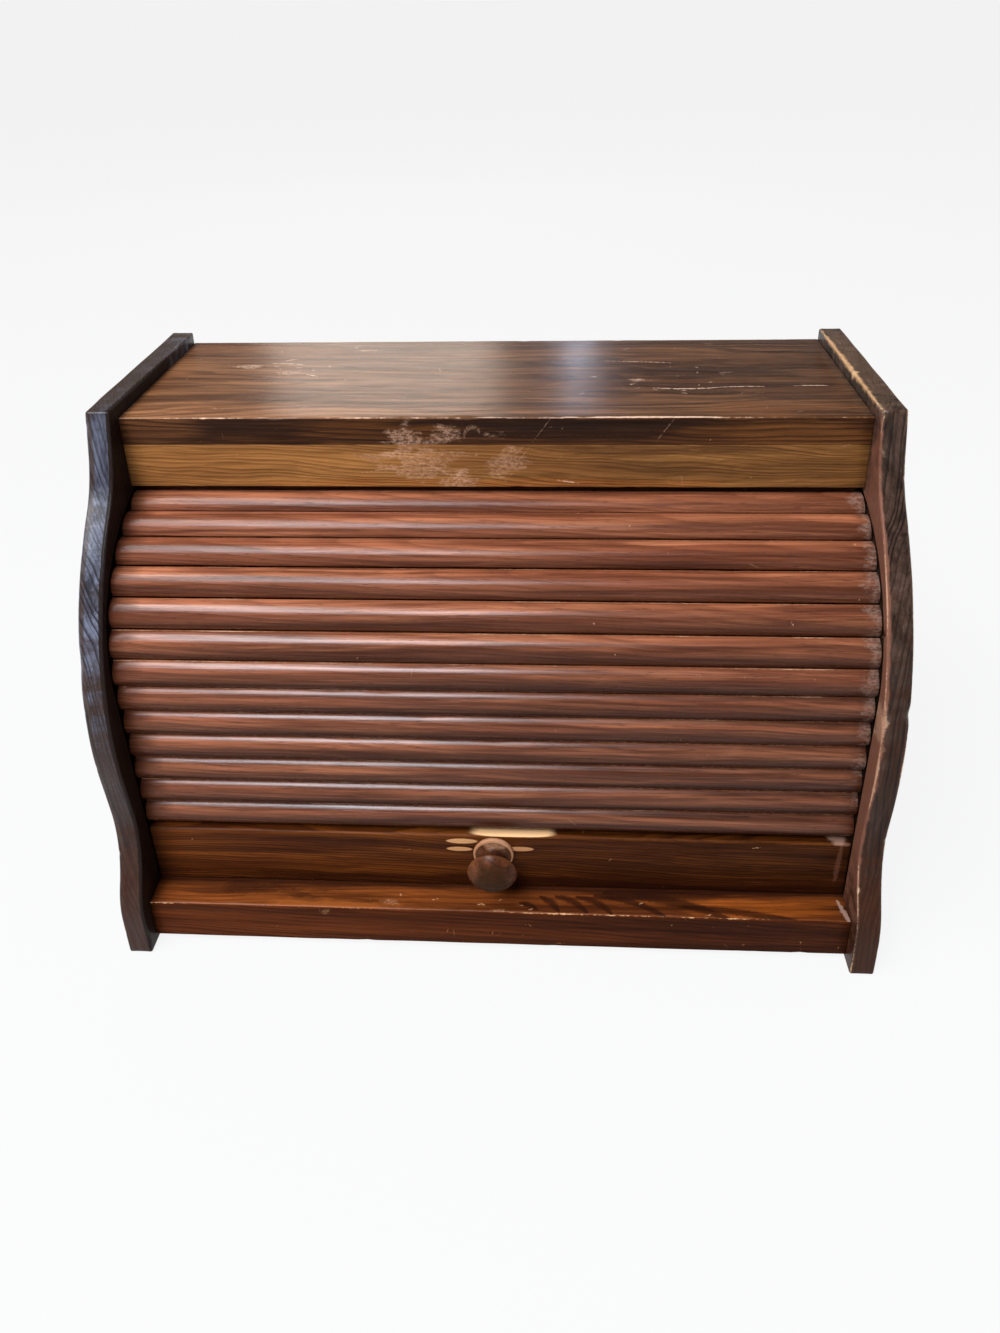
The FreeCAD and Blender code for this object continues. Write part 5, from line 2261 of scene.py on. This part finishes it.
# The left panel: the side pine painted blue-grey, a painted reflection of the cool window at the front left.
SIDE_LEFT_REFLECTING = replace(
    SIDE,
    name="Side pine left with painted reflection", body=paint(66, 67, 80), deep=paint(26, 24, 29), bright=paint(134, 139, 158),
    line=paint(24, 21, 26), pith=(0.0, 0.10, 0.14), shine=0.30, relief=0.4 * MM, wear=0.30,
    spots=(
        # Painted shade: the lower part of the panel darker and browner.
        Spot((-SIDE_OUTER, -0.100, 0.0), (0.03, 0.12, 0.22), 1.0, 0.35, paint(52, 30, 19), 0.1, 0.45, True),
        Spot((-SIDE_OUTER, -0.100, 0.0), (0.03, 0.12, 0.10), 0.6, 0.4, paint(60, 32, 18), 0.15, 0.45),
        # These three paint the wood's own brown back over the painted reflection, on the outer face, the back
        # edge and the top.
        Spot((-0.2145, 0.0, 0.155), (0.0045, 0.5, 0.5), 0.85, 0.1, paint(66, 49, 40), 0.1, 0.45, True),
        Spot((-SIDE_OUTER, 0.1100, 0.155), (0.03, 0.016, 0.5), 0.85, 0.1, paint(58, 43, 35), 0.1, 0.45, True),
        Spot((-SIDE_OUTER, 0.04, 0.318), (0.03, 0.09, 0.016), 0.9, 0.3, paint(58, 43, 32), 0.2),
        # Painted shadow: the left panel's inner face near black, turned away from the lamps.
        Spot((-HALF_INSIDE, -0.04, 0.17), (0.0022, 0.12, 0.25), 0.95, 0.1, paint(30, 18, 12), 0.0),
    ),
)
# The faces cut for the groove, housing and rebate: painted shade, a near-black brown in place of bare wood.
GROOVE = Pine(
    "Groove pine in painted shade",
    body=paint(40, 26, 17), deep=paint(22, 14, 10), bright=paint(62, 42, 28), line=paint(26, 16, 12),
    grain=Grain.ALONG_Z, gloss=0.7, shine=0.05, scratches=0.0,
)
FLOOR = Pine(
    "Bare floor pine",
    body=paint(176, 138, 96), deep=paint(132, 94, 60), bright=paint(204, 170, 124), line=paint(142, 98, 60),
    gloss=0.6, shine=0.2,
)
DOWEL = Pine(
    "Dowel beech",
    body=paint(198, 162, 122), deep=paint(168, 126, 88), bright=paint(218, 188, 150),
    line=paint(176, 136, 98), ring_width=1.2 * MM, gloss=0.6, shine=0.2, scratches=0.0,
)
KNOB = Pine(
    "Knob wood",
    body=paint(74, 37, 19), deep=paint(42, 21, 11), bright=paint(108, 62, 35), line=paint(47, 24, 12),
    bare=paint(170, 120, 86), grain=Grain.ALONG_Y, pith=(0.0, 0.02, 0.0), ring_width=2.4 * MM, gloss=0.34,
    shine=0.12, scratches=0.4, wear=0.46,
    spots=(
        Spot((0.0, -0.1035, 0.0575), (0.0125, 0.010, 0.0125), 1.0, 0.3, paint(50, 30, 15), 0.2),
        # A pale worn ring at the knob's base, with painted light on its upper side.
        Spot((0.0, -0.0815, 0.069), (0.012, 0.004, 0.007), 0.45, 0.7, paint(196, 146, 112), 0.4),
    ),
)
PLYWOOD = Plywood("Back plywood", body=paint(150, 112, 74), deep=paint(112, 78, 48))
CANVAS = Canvas("Cotton canvas", body=paint(186, 168, 134), stain=paint(142, 116, 82))
STEEL = Steel("Old steel", body=paint(150, 148, 146), rust=paint(104, 62, 38))
FINISHES: dict[str, Finish] = {
    "side_left": SIDE_LEFT_REFLECTING,
    "side_right": SIDE,
    "groove": GROOVE,
    "top": TOP,
    "top_edge": TOP_EDGE,
    "apron": APRON,
    "sill": SILL,
    "sill_front": SILL_FRONT,
    "floor": FLOOR,
    "plywood": PLYWOOD,
    "dowel": DOWEL,
    "steel": STEEL,
}


def main() -> None:
    """Build the box, its surroundings and the camera, and report each piece."""
    logging.basicConfig(level=logging.INFO, format="%(message)s")
    finishes = {name: finish.build() for name, finish in FINISHES.items()}
    Studio().build()
    tambour = Tambour(SLAT.build(), CANVAS.build())
    rail = LiftRail(RAIL.build(), KNOB.build(), tambour)
    pieces = Case(finishes).build() + tambour.build() + rail.build()
    for piece in pieces:
        LOG.info("%s: %d vertices", piece.name, len(piece.data.vertices))


if __name__ == "__main__":
    main()
